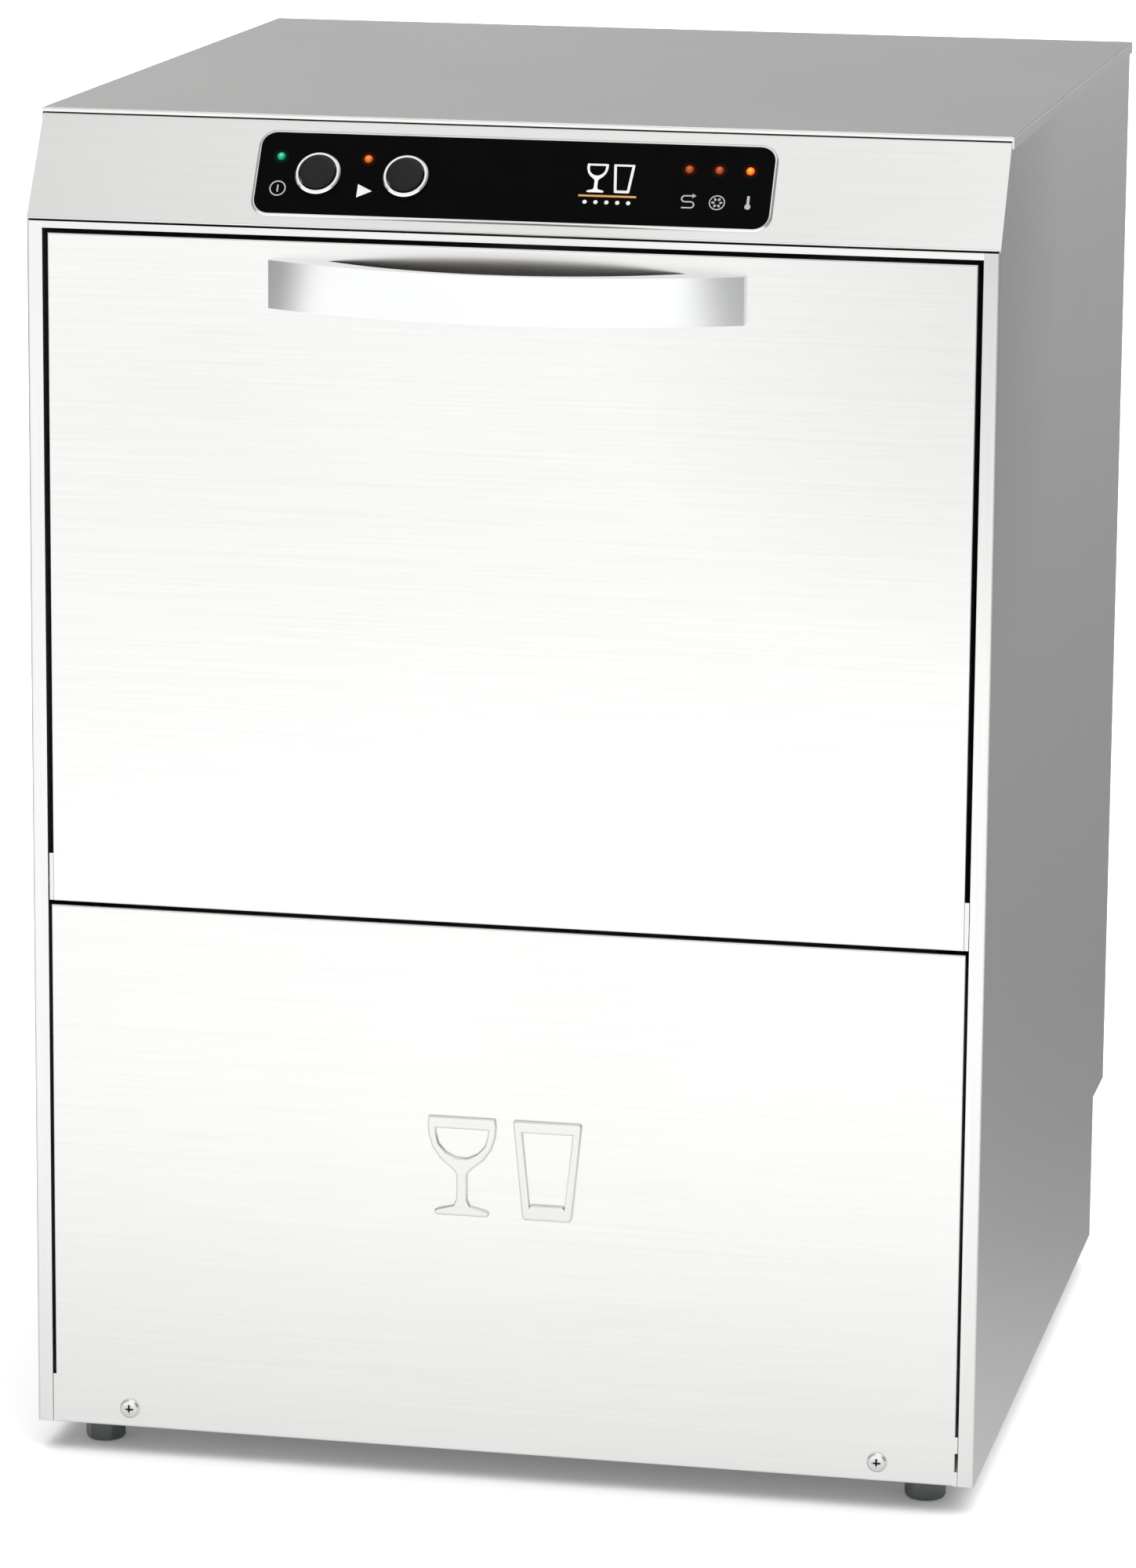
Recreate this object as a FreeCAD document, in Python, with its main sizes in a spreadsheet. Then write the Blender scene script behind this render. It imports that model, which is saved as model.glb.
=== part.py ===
import FreeCAD
import Part
import math
import os
import re
import Sketcher

# Undercounter glass washer with a drop-down front door, in millimetres.
# +X is to the right, +Y to the back and +Z up.  The origin is under the middle of the
# machine on the plane that its four feet stand on.

SIZES = {
    # casing
    "body_width": 575, "body_depth": 605, "overall_height": 815, "handle_reach": 40,
    "skin": 1, "casing_bottom": 18, "fascia_bottom": 753.5, "fascia_setback": 38,
    "lid_side_drop": 7, "lid_lip": 2.4, "lid_overhang": 1.2, "seam": 0.8,
    "flange_width": 9.5, "flange_return": 26, "rear_flange": 12, "bend_radius": 2,
    "notch_depth": 55, "notch_height": 96, "back_relief": 2, "fascia_inset": 1.4,
    "fold_low": 14, "fold_top": 16, "fold_round": 0.9, "lid_round": 1, "header_height": 4,
    "tray_height": 30, "tray_sheet": 1.2, "tray_gap": 1.2, "panel_side_gap": 1.8,
    "panel_return": 15, "hem": 12, "edge_radius": 1.2, "ear_gap": 0.4, "ear_top": 30.5,
    "ear_slot_low": 9, "ear_slot_top": 20.3, "vent_x": 110, "vent_half": 28, "vent_low": 660,
    "vent_pitch": 14, "vent_slot": 4,
    # screws
    "screw_inset": 45.5, "screw_height": 11.7, "screw_radius": 2.5, "screw_head": 6,
    "screw_dome": 2.6, "screw_length": 14, "rear_screw": 2, "rear_head": 4,
    "rear_screw_length": 8,
    # feet
    "foot_inset": 33.5, "foot_front_inset": 33, "foot_hex": 11, "foot_bowl": 12.4,
    "foot_round": 3, "foot_stem": 4.95, "foot_hole": 5, "foot_stem_top": 55,
    "nut_height": 8, "nut_hex": 9.8,
    # controls, placed on the sloping fascia by distance across it and up it
    "overlay_half": 152, "overlay_low": 8.8, "overlay_top": 61, "overlay_corner": 9,
    "overlay_thickness": 1, "power_x": -115.7, "start_x": -63.3, "button_up": 34.3,
    "bezel_radius": 13.5, "bezel_bore": 10.9, "barrel_radius": 11.4, "cap_radius": 10.6,
    "bezel_rise": 4.2, "bezel_depth": 14, "bezel_well": 1.6, "cap_low": 1.4, "cap_top": 6.3,
    "stem_radius": 4, "stem_bore": 4.3, "stem_length": 22, "switch_half": 11,
    "switch_depth": 40, "lamp_up": 45.4, "lamp_radius": 2, "lens_rise": 2.1, "lens_depth": 7,
    "board_half": 148, "board_low": 14, "board_top": 60, "board_sheet": 1.6, "chip_depth": 16,
    # door
    "door_top": 746, "door_bottom": 344, "split_gap": 2.2, "door_gap": 3, "pan_depth": 30,
    "liner": 1.2, "hinge_inset": 11, "pin_radius": 4, "pin_clearance": 0.05,
    "arm_plate": 2.4, "arm_height": 29, "boss_radius": 7, "spring_radius": 9.6,
    "boss_length": 20, "spring_length": 16, "pin_inside": 24, "pin_length": 35,
    "bracket_width": 7.5, "dish_side": 42, "dish_low": 44, "dish_top": 36, "dish_depth": 6,
    "seal_depth": 9.5, "seal_width": 10, "seal_inset": 6, "seal_low": 10, "handle_half": 140.5,
    "handle_mid": 720.8, "handle_height": 28.2, "handle_strip": 6, "handle_end": 4,
    "handle_foot": 34.5, "bolt_depth": 10, "bolt_head": 4.5, "bolt_head_height": 3,
    "reed_x": 210, "magnet_half": 10, "reed_half": 12,
    # wash chamber
    "tub_gap": 41, "tub_wall": 1.2, "tub_half": 252, "tub_length": 506, "tub_floor": 330,
    "tub_ceiling": 735, "mouth_half": 249, "mouth_low": 373, "mouth_top": 725,
    "frame_half": 272, "frame_low": 348, "frame_top": 744, "tank_half": 225,
    "tank_bottom": 262, "sump_half": 215, "filter_sheet": 1.5, "slot_half": 55,
    "slot_step": 70, "slot_width": 4, "slot_pitch": 22, "rail_height": 396, "rail_width": 16,
    "rail_depth": 22, "rail_sheet": 1.5, "rail_gap": 14, "spindle_radius": 8,
    "spindle_rise": 54, "collar": 12, "arm_gap": 0.4, "wash_top": 32, "wash_length": 450,
    "wash_width": 34, "wash_thick": 12, "wash_hub": 20, "rinse_top": 44, "rinse_length": 430,
    "rinse_width": 16, "rinse_thick": 7, "rinse_hub": 14, "arm_nut": 9, "nozzle_first": 48,
    "nozzle_margin": 130, "nozzle_height": 2, "nozzle_radius": 4.5, "jet_half": 0.7,
    "pipe_radius": 14, "rinse_radius": 7, "overflow_radius": 13, "overflow_off": 195,
    "strainer_radius": 40, "strainer_off": 150, "element_x": 40, "element_radius": 4,
    "element_up": 18,
    # machinery in the base
    "pump_x": 60, "pump_y": -60, "pump_z": 125, "volute_radius": 55, "volute_length": 47,
    "motor_radius": 48, "motor_start": 45, "motor_length": 125, "shaft_radius": 6,
    "shaft_length": 150, "impeller_start": 8, "impeller_length": 26, "armature_start": 70,
    "armature_length": 70, "pump_foot": 40, "boiler_x": -180, "boiler_z": 125,
    "boiler_radius": 70, "boiler_length": 290, "boiler_wall": 1.5, "boiler_port": 24,
    "boiler_outlet": 60, "cradle_half": 45, "cradle_y": 90, "cradle_sheet": 6,
    "flange_radius": 34, "flange_sheet": 5, "loop_length": 220, "riser_y": 290,
    "riser_top": 768, "inlet_x": 180, "inlet_radius": 13.2, "inlet_length": 30,
    "inlet_bore": 8, "drain_x": 60, "drain_radius": 10, "drain_length": 40, "drain_bore": 7,
    "drum_radius": 32, "drum_length": 58, "dosing_x": -90, "dosing_half": 30, "gland_x": -200,
    "gland_hole": 9, "gland_cap": 12, "gland_bore": 6, "service_z": 68,
}

# Places worked out from those sizes; a name here may be used in any expression.
PLACES = {
    "front": "(handle_reach - body_depth) / 2",
    "back": "(handle_reach + body_depth) / 2",
    "panel_back": "back - back_relief",
    "half": "body_width / 2",
    "return_x": "half - flange_width",
    "notch_y": "panel_back - notch_depth",
    "notch_top": "casing_bottom + notch_height",
    "casing_top": "overall_height - skin",
    "fascia_top": "overall_height - lid_lip - seam",
    "fascia_rise": "fascia_top - fascia_bottom",
    "fascia_run": "fascia_setback / fascia_rise",
    "fascia_thick": "skin * sqrt(1 + fascia_run ^ 2)",
    "panel_top": "door_bottom - split_gap",
    "panel_half": "return_x - panel_side_gap",
    "door_half": "return_x - door_gap",
    "liner_y": "front + pan_depth",
    "hinge_y": "front + hinge_inset",
    "hinge_z": "door_bottom + hinge_inset",
    "tub_y": "front + tub_gap",
    "tub_back": "tub_y + tub_wall + tub_length",
    "mid": "tub_y + tub_wall + tub_length / 2",
    "screw_x": "half - screw_inset - flange_width - 3",
    "outlet_x": "pump_x + 22",
    "outlet_y": "pump_y + 30",
    "element_z": "tank_bottom + element_up",
}

LAMPS = (-139.4, -87.2, 102.7, 120.3, 138.4)
REAR_SCREWS = (160, 460, 770)
CHIPS = ((0, 36, 12, 9), (40, 40, 9, 14), (80, 38, 14, 10), (125, 36, 8, 12), (-25, 38, 6, 12))
FRONT_Y = (SIZES["handle_reach"] - SIZES["body_depth"]) / 2
LEFT_RIGHT = (("left", -1), ("right", 1))
BIG = 2000

doc = FreeCAD.newDocument("GlassWasher")
sheet = doc.addObject("Spreadsheet::Sheet", "Sheet")
for row, (alias, size) in enumerate(SIZES.items(), 1):
    sheet.set(f"A{row}", alias)
    sheet.set(f"B{row}", str(size))
    sheet.setAlias(f"B{row}", alias)
doc.recompute()

parts = {}


def bound(expression):
    """Spell out the places in an expression and point its sizes at the sheet's cells."""
    def expand(match):
        name = match.group()
        if name in PLACES:
            return "(" + bound(PLACES[name]) + ")"
        return "Sheet." + name if name in SIZES else name
    return re.sub(r"[a-z]\w*", expand, str(expression))


def bind(thing, **properties):
    for name, expression in properties.items():
        thing.setExpression(name, bound(expression))
    return thing


def place(thing, at):
    for axis, expression in zip("xyz", at):
        thing.setExpression("Placement.Base." + axis, bound(expression))
    return thing


def keep(label, thing):
    """Name a finished sub-part; the label is also its file's name."""
    thing.Label = label
    parts[label] = thing
    return thing


def box(x, y, z):
    """A box from three (low, high) pairs of expressions."""
    block = doc.addObject("Part::Box", "Block")
    bind(block, Length=f"({x[1]}) - ({x[0]})", Width=f"({y[1]}) - ({y[0]})",
         Height=f"({z[1]}) - ({z[0]})")
    return place(block, (x[0], y[0], z[0]))


def span(half_size, middle="0"):
    return (f"{middle} - ({half_size})", f"{middle} + ({half_size})")


AXES = {"X": FreeCAD.Rotation(FreeCAD.Vector(0, 1, 0), 90),
        "Y": FreeCAD.Rotation(FreeCAD.Vector(1, 0, 0), -90),
        "Z": FreeCAD.Rotation()}


def rod(axis, at, length, radius):
    """A round bar that starts at a point and runs along +X, +Y or +Z."""
    bar = doc.addObject("Part::Cylinder", "Bar")
    bar.Placement = FreeCAD.Placement(FreeCAD.Vector(), AXES[axis])
    bind(bar, Radius=radius, Height=length)
    return place(bar, at)


def ball(at, radius):
    return place(bind(doc.addObject("Part::Sphere", "Ball"), Radius=radius), at)


def fuse(*shapes):
    whole = doc.addObject("Part::MultiFuse", "Joined")
    whole.Shapes = list(shapes)
    return whole


def cut(base, *tools):
    result = doc.addObject("Part::Cut", "Cut")
    result.Base = base
    result.Tool = tools[0] if len(tools) == 1 else fuse(*tools)
    return result


def common(one, other):
    overlap = doc.addObject("Part::Common", "Common")
    overlap.Base = one
    overlap.Tool = other
    return overlap


def group(*shapes):
    """Separate solids that share one node."""
    bundle = doc.addObject("Part::Compound", "Group")
    bundle.Links = list(shapes)
    return bundle


def ring(axis, at, length, outer, inner):
    return cut(rod(axis, at, length, outer), rod(axis, at, length, inner))


def shell(x, y, z, wall, open_side):
    """A thin-walled box with one side open: front, back, top or bottom."""
    inner = {"x": [x[0] + f" + {wall}", x[1] + f" - {wall}"],
             "y": [y[0] + f" + {wall}", y[1] + f" - {wall}"],
             "z": [z[0] + f" + {wall}", z[1] + f" - {wall}"]}
    side, end = {"front": ("y", 0), "back": ("y", 1), "top": ("z", 1),
                 "bottom": ("z", 0)}[open_side]
    inner[side][end] += f" {'+-'[1 - end]} 2 * {wall}"
    return cut(box(x, y, z), box(inner["x"], inner["y"], inner["z"]))


def new_body(name):
    return doc.addObject("PartDesign::Body", name)


def blank_sketch(body, role, offset):
    """An empty sketch on one of a body's origin planes, or parallel to it."""
    plane = [item for item in body.Origin.OriginFeatures if item.Role == role][0]
    outline = body.newObject("Sketcher::SketchObject", "Outline")
    outline.AttachmentSupport = [(plane, "")]
    outline.MapMode = "FlatFace"
    outline.setExpression("AttachmentOffset.Base.z", bound(offset))
    return outline


def sketch_on(body, role, points, offset="0"):
    """A closed outline whose corners are pairs of expressions."""
    outline = blank_sketch(body, role, offset)
    count = len(points)
    turn = 2 * math.pi / count
    start = [FreeCAD.Vector(math.cos(turn * i), math.sin(turn * i), 0) for i in range(count)]
    for i in range(count):
        outline.addGeometry(Part.LineSegment(start[i], start[(i + 1) % count]))
    for i in range(count):
        outline.addConstraint(Sketcher.Constraint("Coincident", i, 2, (i + 1) % count, 1))
    for i, pair in enumerate(points):
        for kind, first, expression in zip(("DistanceX", "DistanceY"), start[i], pair):
            row = outline.addConstraint(Sketcher.Constraint(kind, -1, 1, i, 1, first))
            outline.setExpression(f"Constraints[{row}]", bound(expression))
    return outline


def circle_on(body, radius):
    """A circle about the origin on a body's XY plane."""
    outline = blank_sketch(body, "XY_Plane", "0")
    outline.addGeometry(Part.Circle(FreeCAD.Vector(), FreeCAD.Vector(0, 0, 1), 1))
    outline.addConstraint(Sketcher.Constraint("Coincident", 0, 3, -1, 1))
    row = outline.addConstraint(Sketcher.Constraint("Radius", 0, 1))
    outline.setExpression(f"Constraints[{row}]", bound(radius))
    return outline


def pad(body, outline, length, both_ways=False):
    solid = body.newObject("PartDesign::Pad", "Pad")
    solid.Profile = outline
    solid.setExpression("Length", bound(length))
    if both_ways:
        solid.SideType = "Symmetric"
    return solid


def pocket(body, outline):
    """Cut an outline right through, both ways from its plane."""
    hole = body.newObject("PartDesign::Pocket", "Pocket")
    hole.Profile = outline
    hole.SideType = "Symmetric"
    hole.Length = BIG
    return hole


def turned(profile):
    """A body turned about its own Z axis from (radius, height) expressions."""
    body = new_body("Turned")
    outline = sketch_on(body, "XZ_Plane", profile)
    spin = body.newObject("PartDesign::Revolution", "Turn")
    spin.Profile = outline
    spin.ReferenceAxis = (outline, ["V_Axis"])
    spin.Angle = 360
    return body


def hexagon(radius):
    return [(f"({radius}) * cos({60 * i})", f"({radius}) * sin({60 * i})") for i in range(6)]


def prism(points, low, length):
    body = new_body("Prism")
    pad(body, sketch_on(body, "XY_Plane", points, low), length)
    return body


def rounded(body, radius, wanted):
    """Round the edges of a body that pass a test."""
    doc.recompute()
    picked = [f"Edge{i}" for i, edge in enumerate(body.Tip.Shape.Edges, 1) if wanted(edge)]
    base = body.Tip
    soft = body.newObject("PartDesign::Fillet", "Bend")
    soft.Base = (base, picked)
    soft.setExpression("Radius", bound(radius))
    return body


def along(edge, axis):
    """Whether an edge is straight and runs along one axis."""
    if len(edge.Vertexes) != 2:
        return False
    first, last = (vertex.Point for vertex in edge.Vertexes)
    run = last - first
    return abs(abs(run[axis]) - run.Length) < 1e-6


def middle(edge):
    return edge.CenterOfMass


def on_fascia(thing):
    """Stand a shape made flat, with Z as its outward side, on the sloping fascia."""
    tilt = FreeCAD.Rotation(FreeCAD.Vector(1, 0, 0), 58)
    thing.Placement = FreeCAD.Placement(FreeCAD.Vector(), tilt)
    place(thing, ("0", "front", "fascia_bottom"))
    thing.setExpression("Placement.Rotation.Angle", bound("atan(fascia_rise / fascia_setback)"))
    return thing


# ---------------------------------------------------------------- casing

def make_base_tray():
    """A T-shaped folded tray: a narrow tongue behind the front panel, then full width."""
    def outline(inset):
        narrow, wide = f"panel_half - tray_gap - {inset}", f"half - skin - {inset}"
        near, step, far = (f"front + skin + {inset}", f"front + flange_return + 1 + {inset}",
                           f"notch_y - skin - {inset}")
        return [(f"-({narrow})", near), (narrow, near), (narrow, step), (wide, step),
                (wide, far), (f"-({wide})", far), (f"-({wide})", step), (f"-({narrow})", step)]
    outer = prism(outline("0"), "casing_bottom", "tray_height")
    inner = prism(outline("tray_sheet"), "casing_bottom + tray_sheet", "tray_height")
    holes = [rod("Z", (x, y, "casing_bottom - 1"), "4", "foot_hole") for x, y in foot_places()]
    screws = [rod("Y", (x, "front", "casing_bottom + screw_height"), "6", "screw_radius")
              for x in ("-(screw_x)", "screw_x")]
    keep("base_tray", cut(outer, inner, *holes, *screws))


def foot_places():
    return [(f"{sign} * (half - foot_inset)", y) for _, sign in LEFT_RIGHT
            for y in ("front + foot_front_inset", "notch_y - foot_inset")]


def make_side_panel(name, sign):
    """A sheet folded to a C in plan, cut back to the fascia's slope and for the hoses."""
    def across(x):
        return f"{sign} * ({x})"
    body = new_body("SidePanel")
    plan = [(across(x), y) for x, y in (
        ("half", "front"), ("half", "panel_back"), ("half - rear_flange", "panel_back"),
        ("half - rear_flange", "panel_back - skin"), ("half - skin", "panel_back - skin"),
        ("half - skin", "front + skin"), ("return_x + skin", "front + skin"),
        ("return_x + skin", "front + flange_return"), ("return_x", "front + flange_return"),
        ("return_x", "front"))]
    pad(body, sketch_on(body, "XY_Plane", plan, "casing_bottom"), "casing_top - casing_bottom")
    low, top = "fascia_bottom - seam", "overall_height + 5"
    slope_top = f"front + fascia_inset + fascia_run * ({top} - fascia_bottom)"
    slope = [("front - 5", low), ("front + fascia_inset - fascia_run * seam", low),
             (slope_top, top), ("front - 5", top)]
    pocket(body, sketch_on(body, "YZ_Plane", slope))
    notch = [("notch_y", "casing_bottom - 5"), ("panel_back + 5", "casing_bottom - 5"),
             ("panel_back + 5", "notch_top"), ("notch_y", "notch_top")]
    pocket(body, sketch_on(body, "YZ_Plane", notch))
    edge_x = sign * SIZES["body_width"] / 2
    back_y = FRONT_Y + SIZES["body_depth"] - SIZES["back_relief"]
    rounded(body, "bend_radius", lambda edge: along(edge, 2)
            and abs(middle(edge).x - edge_x) < 0.01
            and min(abs(middle(edge).y - FRONT_Y), abs(middle(edge).y - back_y)) < 0.01)
    pin_hole = rod("X", (f"{sign} * (return_x + skin / 2) - 2", "hinge_y", "hinge_z"), "4",
                   "pin_radius + 0.2")
    screw_holes = [rod("Y", (f"{sign} * (half - rear_flange / 2)", "panel_back - 4", z), "6",
                       "rear_screw + 0.1") for z in REAR_SCREWS]
    above_door = box(span("flange_width / 2 + 0.5",
                          f"{sign} * (return_x + flange_width / 2 - 1.5)"),
                     ("front - 1", "front + flange_return + 1"),
                     ("fascia_bottom - seam", "casing_top + 1"))
    keep(f"{name}_side_panel", cut(body, pin_hole, above_door, *screw_holes))


def make_back_panel():
    sheet_metal = box(span("half - skin"), ("panel_back - 2 * skin", "panel_back - skin"),
                      ("notch_top + skin", "casing_top"))
    holes = [rod("Y", (f"{sign} * (half - rear_flange / 2)", "panel_back - 4", z), "6",
                 "rear_screw + 0.1") for _, sign in LEFT_RIGHT for z in REAR_SCREWS]
    vents = [box(span("vent_half", f"{sign} * vent_x"), ("panel_back - 4", "panel_back + 1"),
                 (f"vent_low + {i} * vent_pitch", f"vent_low + {i} * vent_pitch + vent_slot"))
             for _, sign in LEFT_RIGHT for i in range(8)]
    keep("back_panel", cut(sheet_metal, *holes, *vents))


def make_service_plate():
    """The recessed plate for the hoses and the shelf over it."""
    upright = box(span("half - skin"), ("notch_y - skin", "notch_y"),
                  ("casing_bottom", "notch_top"))
    shelf = box(span("half - skin"), ("notch_y - skin", "panel_back - skin"),
                ("notch_top", "notch_top + skin"))
    def opening(x, radius):
        return rod("Y", (x, "notch_y - 5", "service_z"), "10", radius)
    keep("service_plate", cut(fuse(upright, shelf), opening("inlet_x", "inlet_radius + 0.4"),
                              opening("drain_x", "drain_radius + 0.4"),
                              opening("gland_x", "gland_hole + 0.2")))


def make_top_lid():
    wide = "half + lid_overhang"
    lid_front = "front + fascia_setback - 0.6"
    lid_back = "panel_back + lid_overhang"
    body = new_body("Lid")
    plan = [(f"-({wide})", lid_front), (wide, lid_front), (wide, lid_back),
            (f"-({wide})", lid_back)]
    pad(body, sketch_on(body, "XY_Plane", plan, "overall_height - lid_side_drop"),
        "lid_side_drop")
    rounded(body, "lid_round", lambda edge: middle(edge).z > SIZES["overall_height"] - 0.01)
    hollow = box(span(f"{wide} - skin"), (f"{lid_front} + skin", f"{lid_back} - skin"),
                 ("overall_height - lid_side_drop - 1", "casing_top"))
    relief = box(span(f"{wide} - skin"), (f"{lid_front} - 1", f"{lid_front} + 5"),
                 ("overall_height - lid_side_drop - 1", "overall_height - lid_lip"))
    keep("top_lid", cut(body, hollow, relief))


def make_front_header():
    """The folded strip over the door, between the side panels' returns."""
    low, top = "fascia_bottom - seam - header_height", "fascia_bottom - seam"
    body = new_body("Header")
    section = [("front", low), ("tub_y + tub_wall", low), ("tub_y + tub_wall", f"{low} + skin"),
               ("front + skin", f"{low} + skin"), ("front + skin", top), ("front", top)]
    pad(body, sketch_on(body, "YZ_Plane", section), "2 * return_x", both_ways=True)
    keep("front_header", body)


def make_lower_front_panel():
    """A folded pan with a hemmed top; its lower corners reach out to the side panels."""
    body = new_body("LowerPanel")
    corners = [("-(panel_half)", "casing_bottom"), ("panel_half", "casing_bottom"),
               ("panel_half", "panel_top"), ("-(panel_half)", "panel_top")]
    pad(body, sketch_on(body, "XZ_Plane", corners, "-(front + panel_return)"), "panel_return")
    rounded(body, "edge_radius", lambda edge: abs(middle(edge).y - FRONT_Y) < 0.01)
    hollow = box(span("panel_half - skin"), ("front + skin", "front + panel_return + 1"),
                 ("casing_bottom + skin", "panel_top - skin"))
    ends = [box(span("panel_half - skin"), ("front + skin", "front + panel_return + 1"), z)
            for z in (("casing_bottom - 1", "casing_bottom + 2"),
                      ("panel_top - 2", "panel_top + 1"))]
    relief = box(span("panel_half + 1"), ("front + 2.2", "front + panel_return + 1"),
                 ("panel_top - 6", "panel_top + 1"))
    hem = box(span("panel_half - edge_radius"), ("front + skin", "front + 2 * skin"),
              ("panel_top - hem", "panel_top"))
    holes = [rod("Y", (x, "front - 1", "casing_bottom + screw_height"), "4", "screw_radius")
             for x in ("-(screw_x)", "screw_x")]
    ears = [box(span("(return_x - ear_gap - panel_half + edge_radius) / 2",
                     f"{sign} * (return_x - ear_gap + panel_half - edge_radius) / 2"),
                ("front", "front + skin"), (f"casing_bottom + {low}", f"casing_bottom + {top}"))
            for sign, low, top in ((-1, "0", "ear_top"), (1, "0", "ear_slot_low"),
                                   (1, "ear_slot_top", "ear_top"))]
    keep("lower_front_panel", fuse(cut(body, hollow, *ends, relief, *holes), hem, *ears))


def pan_head_screw(radius, head, height, length):
    """A cross-recessed pan-head screw: head up, shank down from Z = 0."""
    body = turned([("0", f"-{length}"), (radius, f"-{length}"), (radius, "0"), (head, "0"),
                   (head, f"0.35 * {height}"), (f"0.8 * {head}", f"0.8 * {height}"),
                   (f"0.45 * {head}", height), ("0", height)])
    deep = f"0.45 * {height}"
    slots = [box(span(f"{a} * {head}"), span(f"{b} * {head}"), (deep, f"2 * {height}"))
             for a, b in ((0.5, 0.1), (0.1, 0.5))]
    return cut(body, *slots)


def facing(thing, rotation, at):
    """Turn a finished shape and put it at a place."""
    thing.Placement = FreeCAD.Placement(FreeCAD.Vector(), rotation)
    return place(thing, at)


FORWARD = FreeCAD.Rotation(FreeCAD.Vector(1, 0, 0), 90)
BACKWARD = FreeCAD.Rotation(FreeCAD.Vector(1, 0, 0), -90)


def make_screws():
    keep("front_panel_screws", group(*[
        facing(pan_head_screw("screw_radius", "screw_head", "screw_dome", "screw_length"),
               FORWARD, (x, "front", "casing_bottom + screw_height"))
        for x in ("-(screw_x)", "screw_x")]))
    rear = [(f"{sign} * (half - rear_flange / 2)", "panel_back", z)
            for _, sign in LEFT_RIGHT for z in REAR_SCREWS]
    keep("back_panel_screws", group(*[
        facing(pan_head_screw("rear_screw", "rear_head", "back_relief", "rear_screw_length"),
               BACKWARD, at) for at in rear]))


def make_feet():
    """Screw feet: a hexagon with a bowl-shaped underside on a threaded stem."""
    for (x, y), name in zip(foot_places(), ("front_left", "rear_left", "front_right",
                                            "rear_right")):
        hexagonal = prism(hexagon("foot_hex / cos(30)"), "0", "casing_bottom - 0.4")
        bowl = new_body("Bowl")
        pad(bowl, circle_on(bowl, "foot_bowl"), "casing_bottom")
        rounded(bowl, "foot_round", lambda edge: abs(middle(edge).z) < 0.01)
        stem = rod("Z", ("0", "0", "3"), "foot_stem_top - 3", "foot_stem")
        keep(f"{name}_foot", place(fuse(common(hexagonal, bowl), stem), (x, y, "0")))
    nuts = []
    for x, y in foot_places():
        nut = prism(hexagon("nut_hex"), "casing_bottom + tray_sheet", "nut_height")
        hole = rod("Z", ("0", "0", "casing_bottom"), "nut_height + 5", "foot_hole")
        nuts.append(place(cut(nut, hole), (x, y, "0")))
    keep("foot_nuts", group(*nuts))


# ---------------------------------------------------------------- controls

def button_holes(low, length):
    return [rod("Z", (x, "button_up", low), length, "barrel_radius + 0.1")
            for x in ("power_x", "start_x")]


def lamp_holes(low, length):
    return [rod("Z", (str(x), "lamp_up", low), length, "lamp_radius + 0.05") for x in LAMPS]


def make_control_panel():
    body = new_body("Fascia")
    low, top = "fascia_bottom", "fascia_top"
    slope = [("front", low), ("front + fascia_setback", top),
             ("front + fascia_setback + fascia_thick", top), ("front + fascia_thick", low)]
    pad(body, sketch_on(body, "YZ_Plane", slope), "body_width", both_ways=True)
    inset = "fascia_thick / 2"
    near, far = "front + fold_low", "front + fascia_setback + fold_top"
    folds = [[(f"front + {inset}", low), (near, low), (near, f"{low} + skin"),
              (f"front + {inset} + fascia_run * skin", f"{low} + skin")],
             [(f"front + fascia_setback + {inset}", top), (far, top), (far, f"{top} - skin"),
              (f"front + fascia_setback + {inset} - fascia_run * skin", f"{top} - skin")]]
    for fold in folds:
        pad(body, sketch_on(body, "YZ_Plane", fold), "body_width - 2 * skin - 0.6",
            both_ways=True)
    rounded(body, "fold_round", lambda edge: along(edge, 0) and (
        abs(middle(edge).y - FRONT_Y) < 0.01
        or abs(middle(edge).y - FRONT_Y - SIZES["fascia_setback"]) < 0.01))
    keep("control_panel", cut(body, on_fascia(fuse(*button_holes("-5", "10"),
                                                   *lamp_holes("-5", "10")))))


def make_fascia_overlay():
    body = new_body("Overlay")
    corners = [("-overlay_half", "overlay_low"), ("overlay_half", "overlay_low"),
               ("overlay_half", "overlay_top"), ("-overlay_half", "overlay_top")]
    pad(body, sketch_on(body, "XY_Plane", corners), "overlay_thickness")
    rounded(body, "overlay_corner", lambda edge: along(edge, 2))
    keep("fascia_overlay", on_fascia(cut(body, *button_holes("-1", "5"),
                                         *lamp_holes("-1", "5"))))


def make_buttons():
    bezels, switches = [], []
    for name, x in (("power", "power_x"), ("start", "start_x")):
        bezel = turned([("stem_bore", "-bezel_depth"), ("barrel_radius", "-bezel_depth"),
                        ("barrel_radius", "overlay_thickness"),
                        ("bezel_radius", "overlay_thickness"),
                        ("bezel_radius", "bezel_rise - 0.8"),
                        ("bezel_radius - 0.8", "bezel_rise"), ("bezel_bore + 0.6", "bezel_rise"),
                        ("bezel_bore", "bezel_rise - 0.6"), ("bezel_bore", "-bezel_well"),
                        ("stem_bore", "-bezel_well")])
        bezels.append(place(bezel, (x, "button_up", "0")))
        cap = turned([("0", "-stem_length"), ("stem_radius", "-stem_length"),
                      ("stem_radius", "cap_low"), ("cap_radius", "cap_low"),
                      ("cap_radius", "cap_top - 1.3"), ("cap_radius - 0.5", "cap_top - 0.7"),
                      ("cap_radius - 2.5", "cap_top - 0.2"), ("0", "cap_top")])
        place(cap, (x, "button_up", "0"))
        keep(f"{name}_button", on_fascia(group(cap)))
        block = box(span("switch_half", x), span("switch_half", "button_up"),
                    ("-switch_depth", "-bezel_depth"))
        well = rod("Z", (x, "button_up", "-(stem_length + 3.5)"), "12", "stem_bore")
        switches.append(cut(block, well))
    keep("button_bezels", on_fascia(group(*bezels)))
    keep("switch_blocks", on_fascia(group(*switches)))


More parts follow.
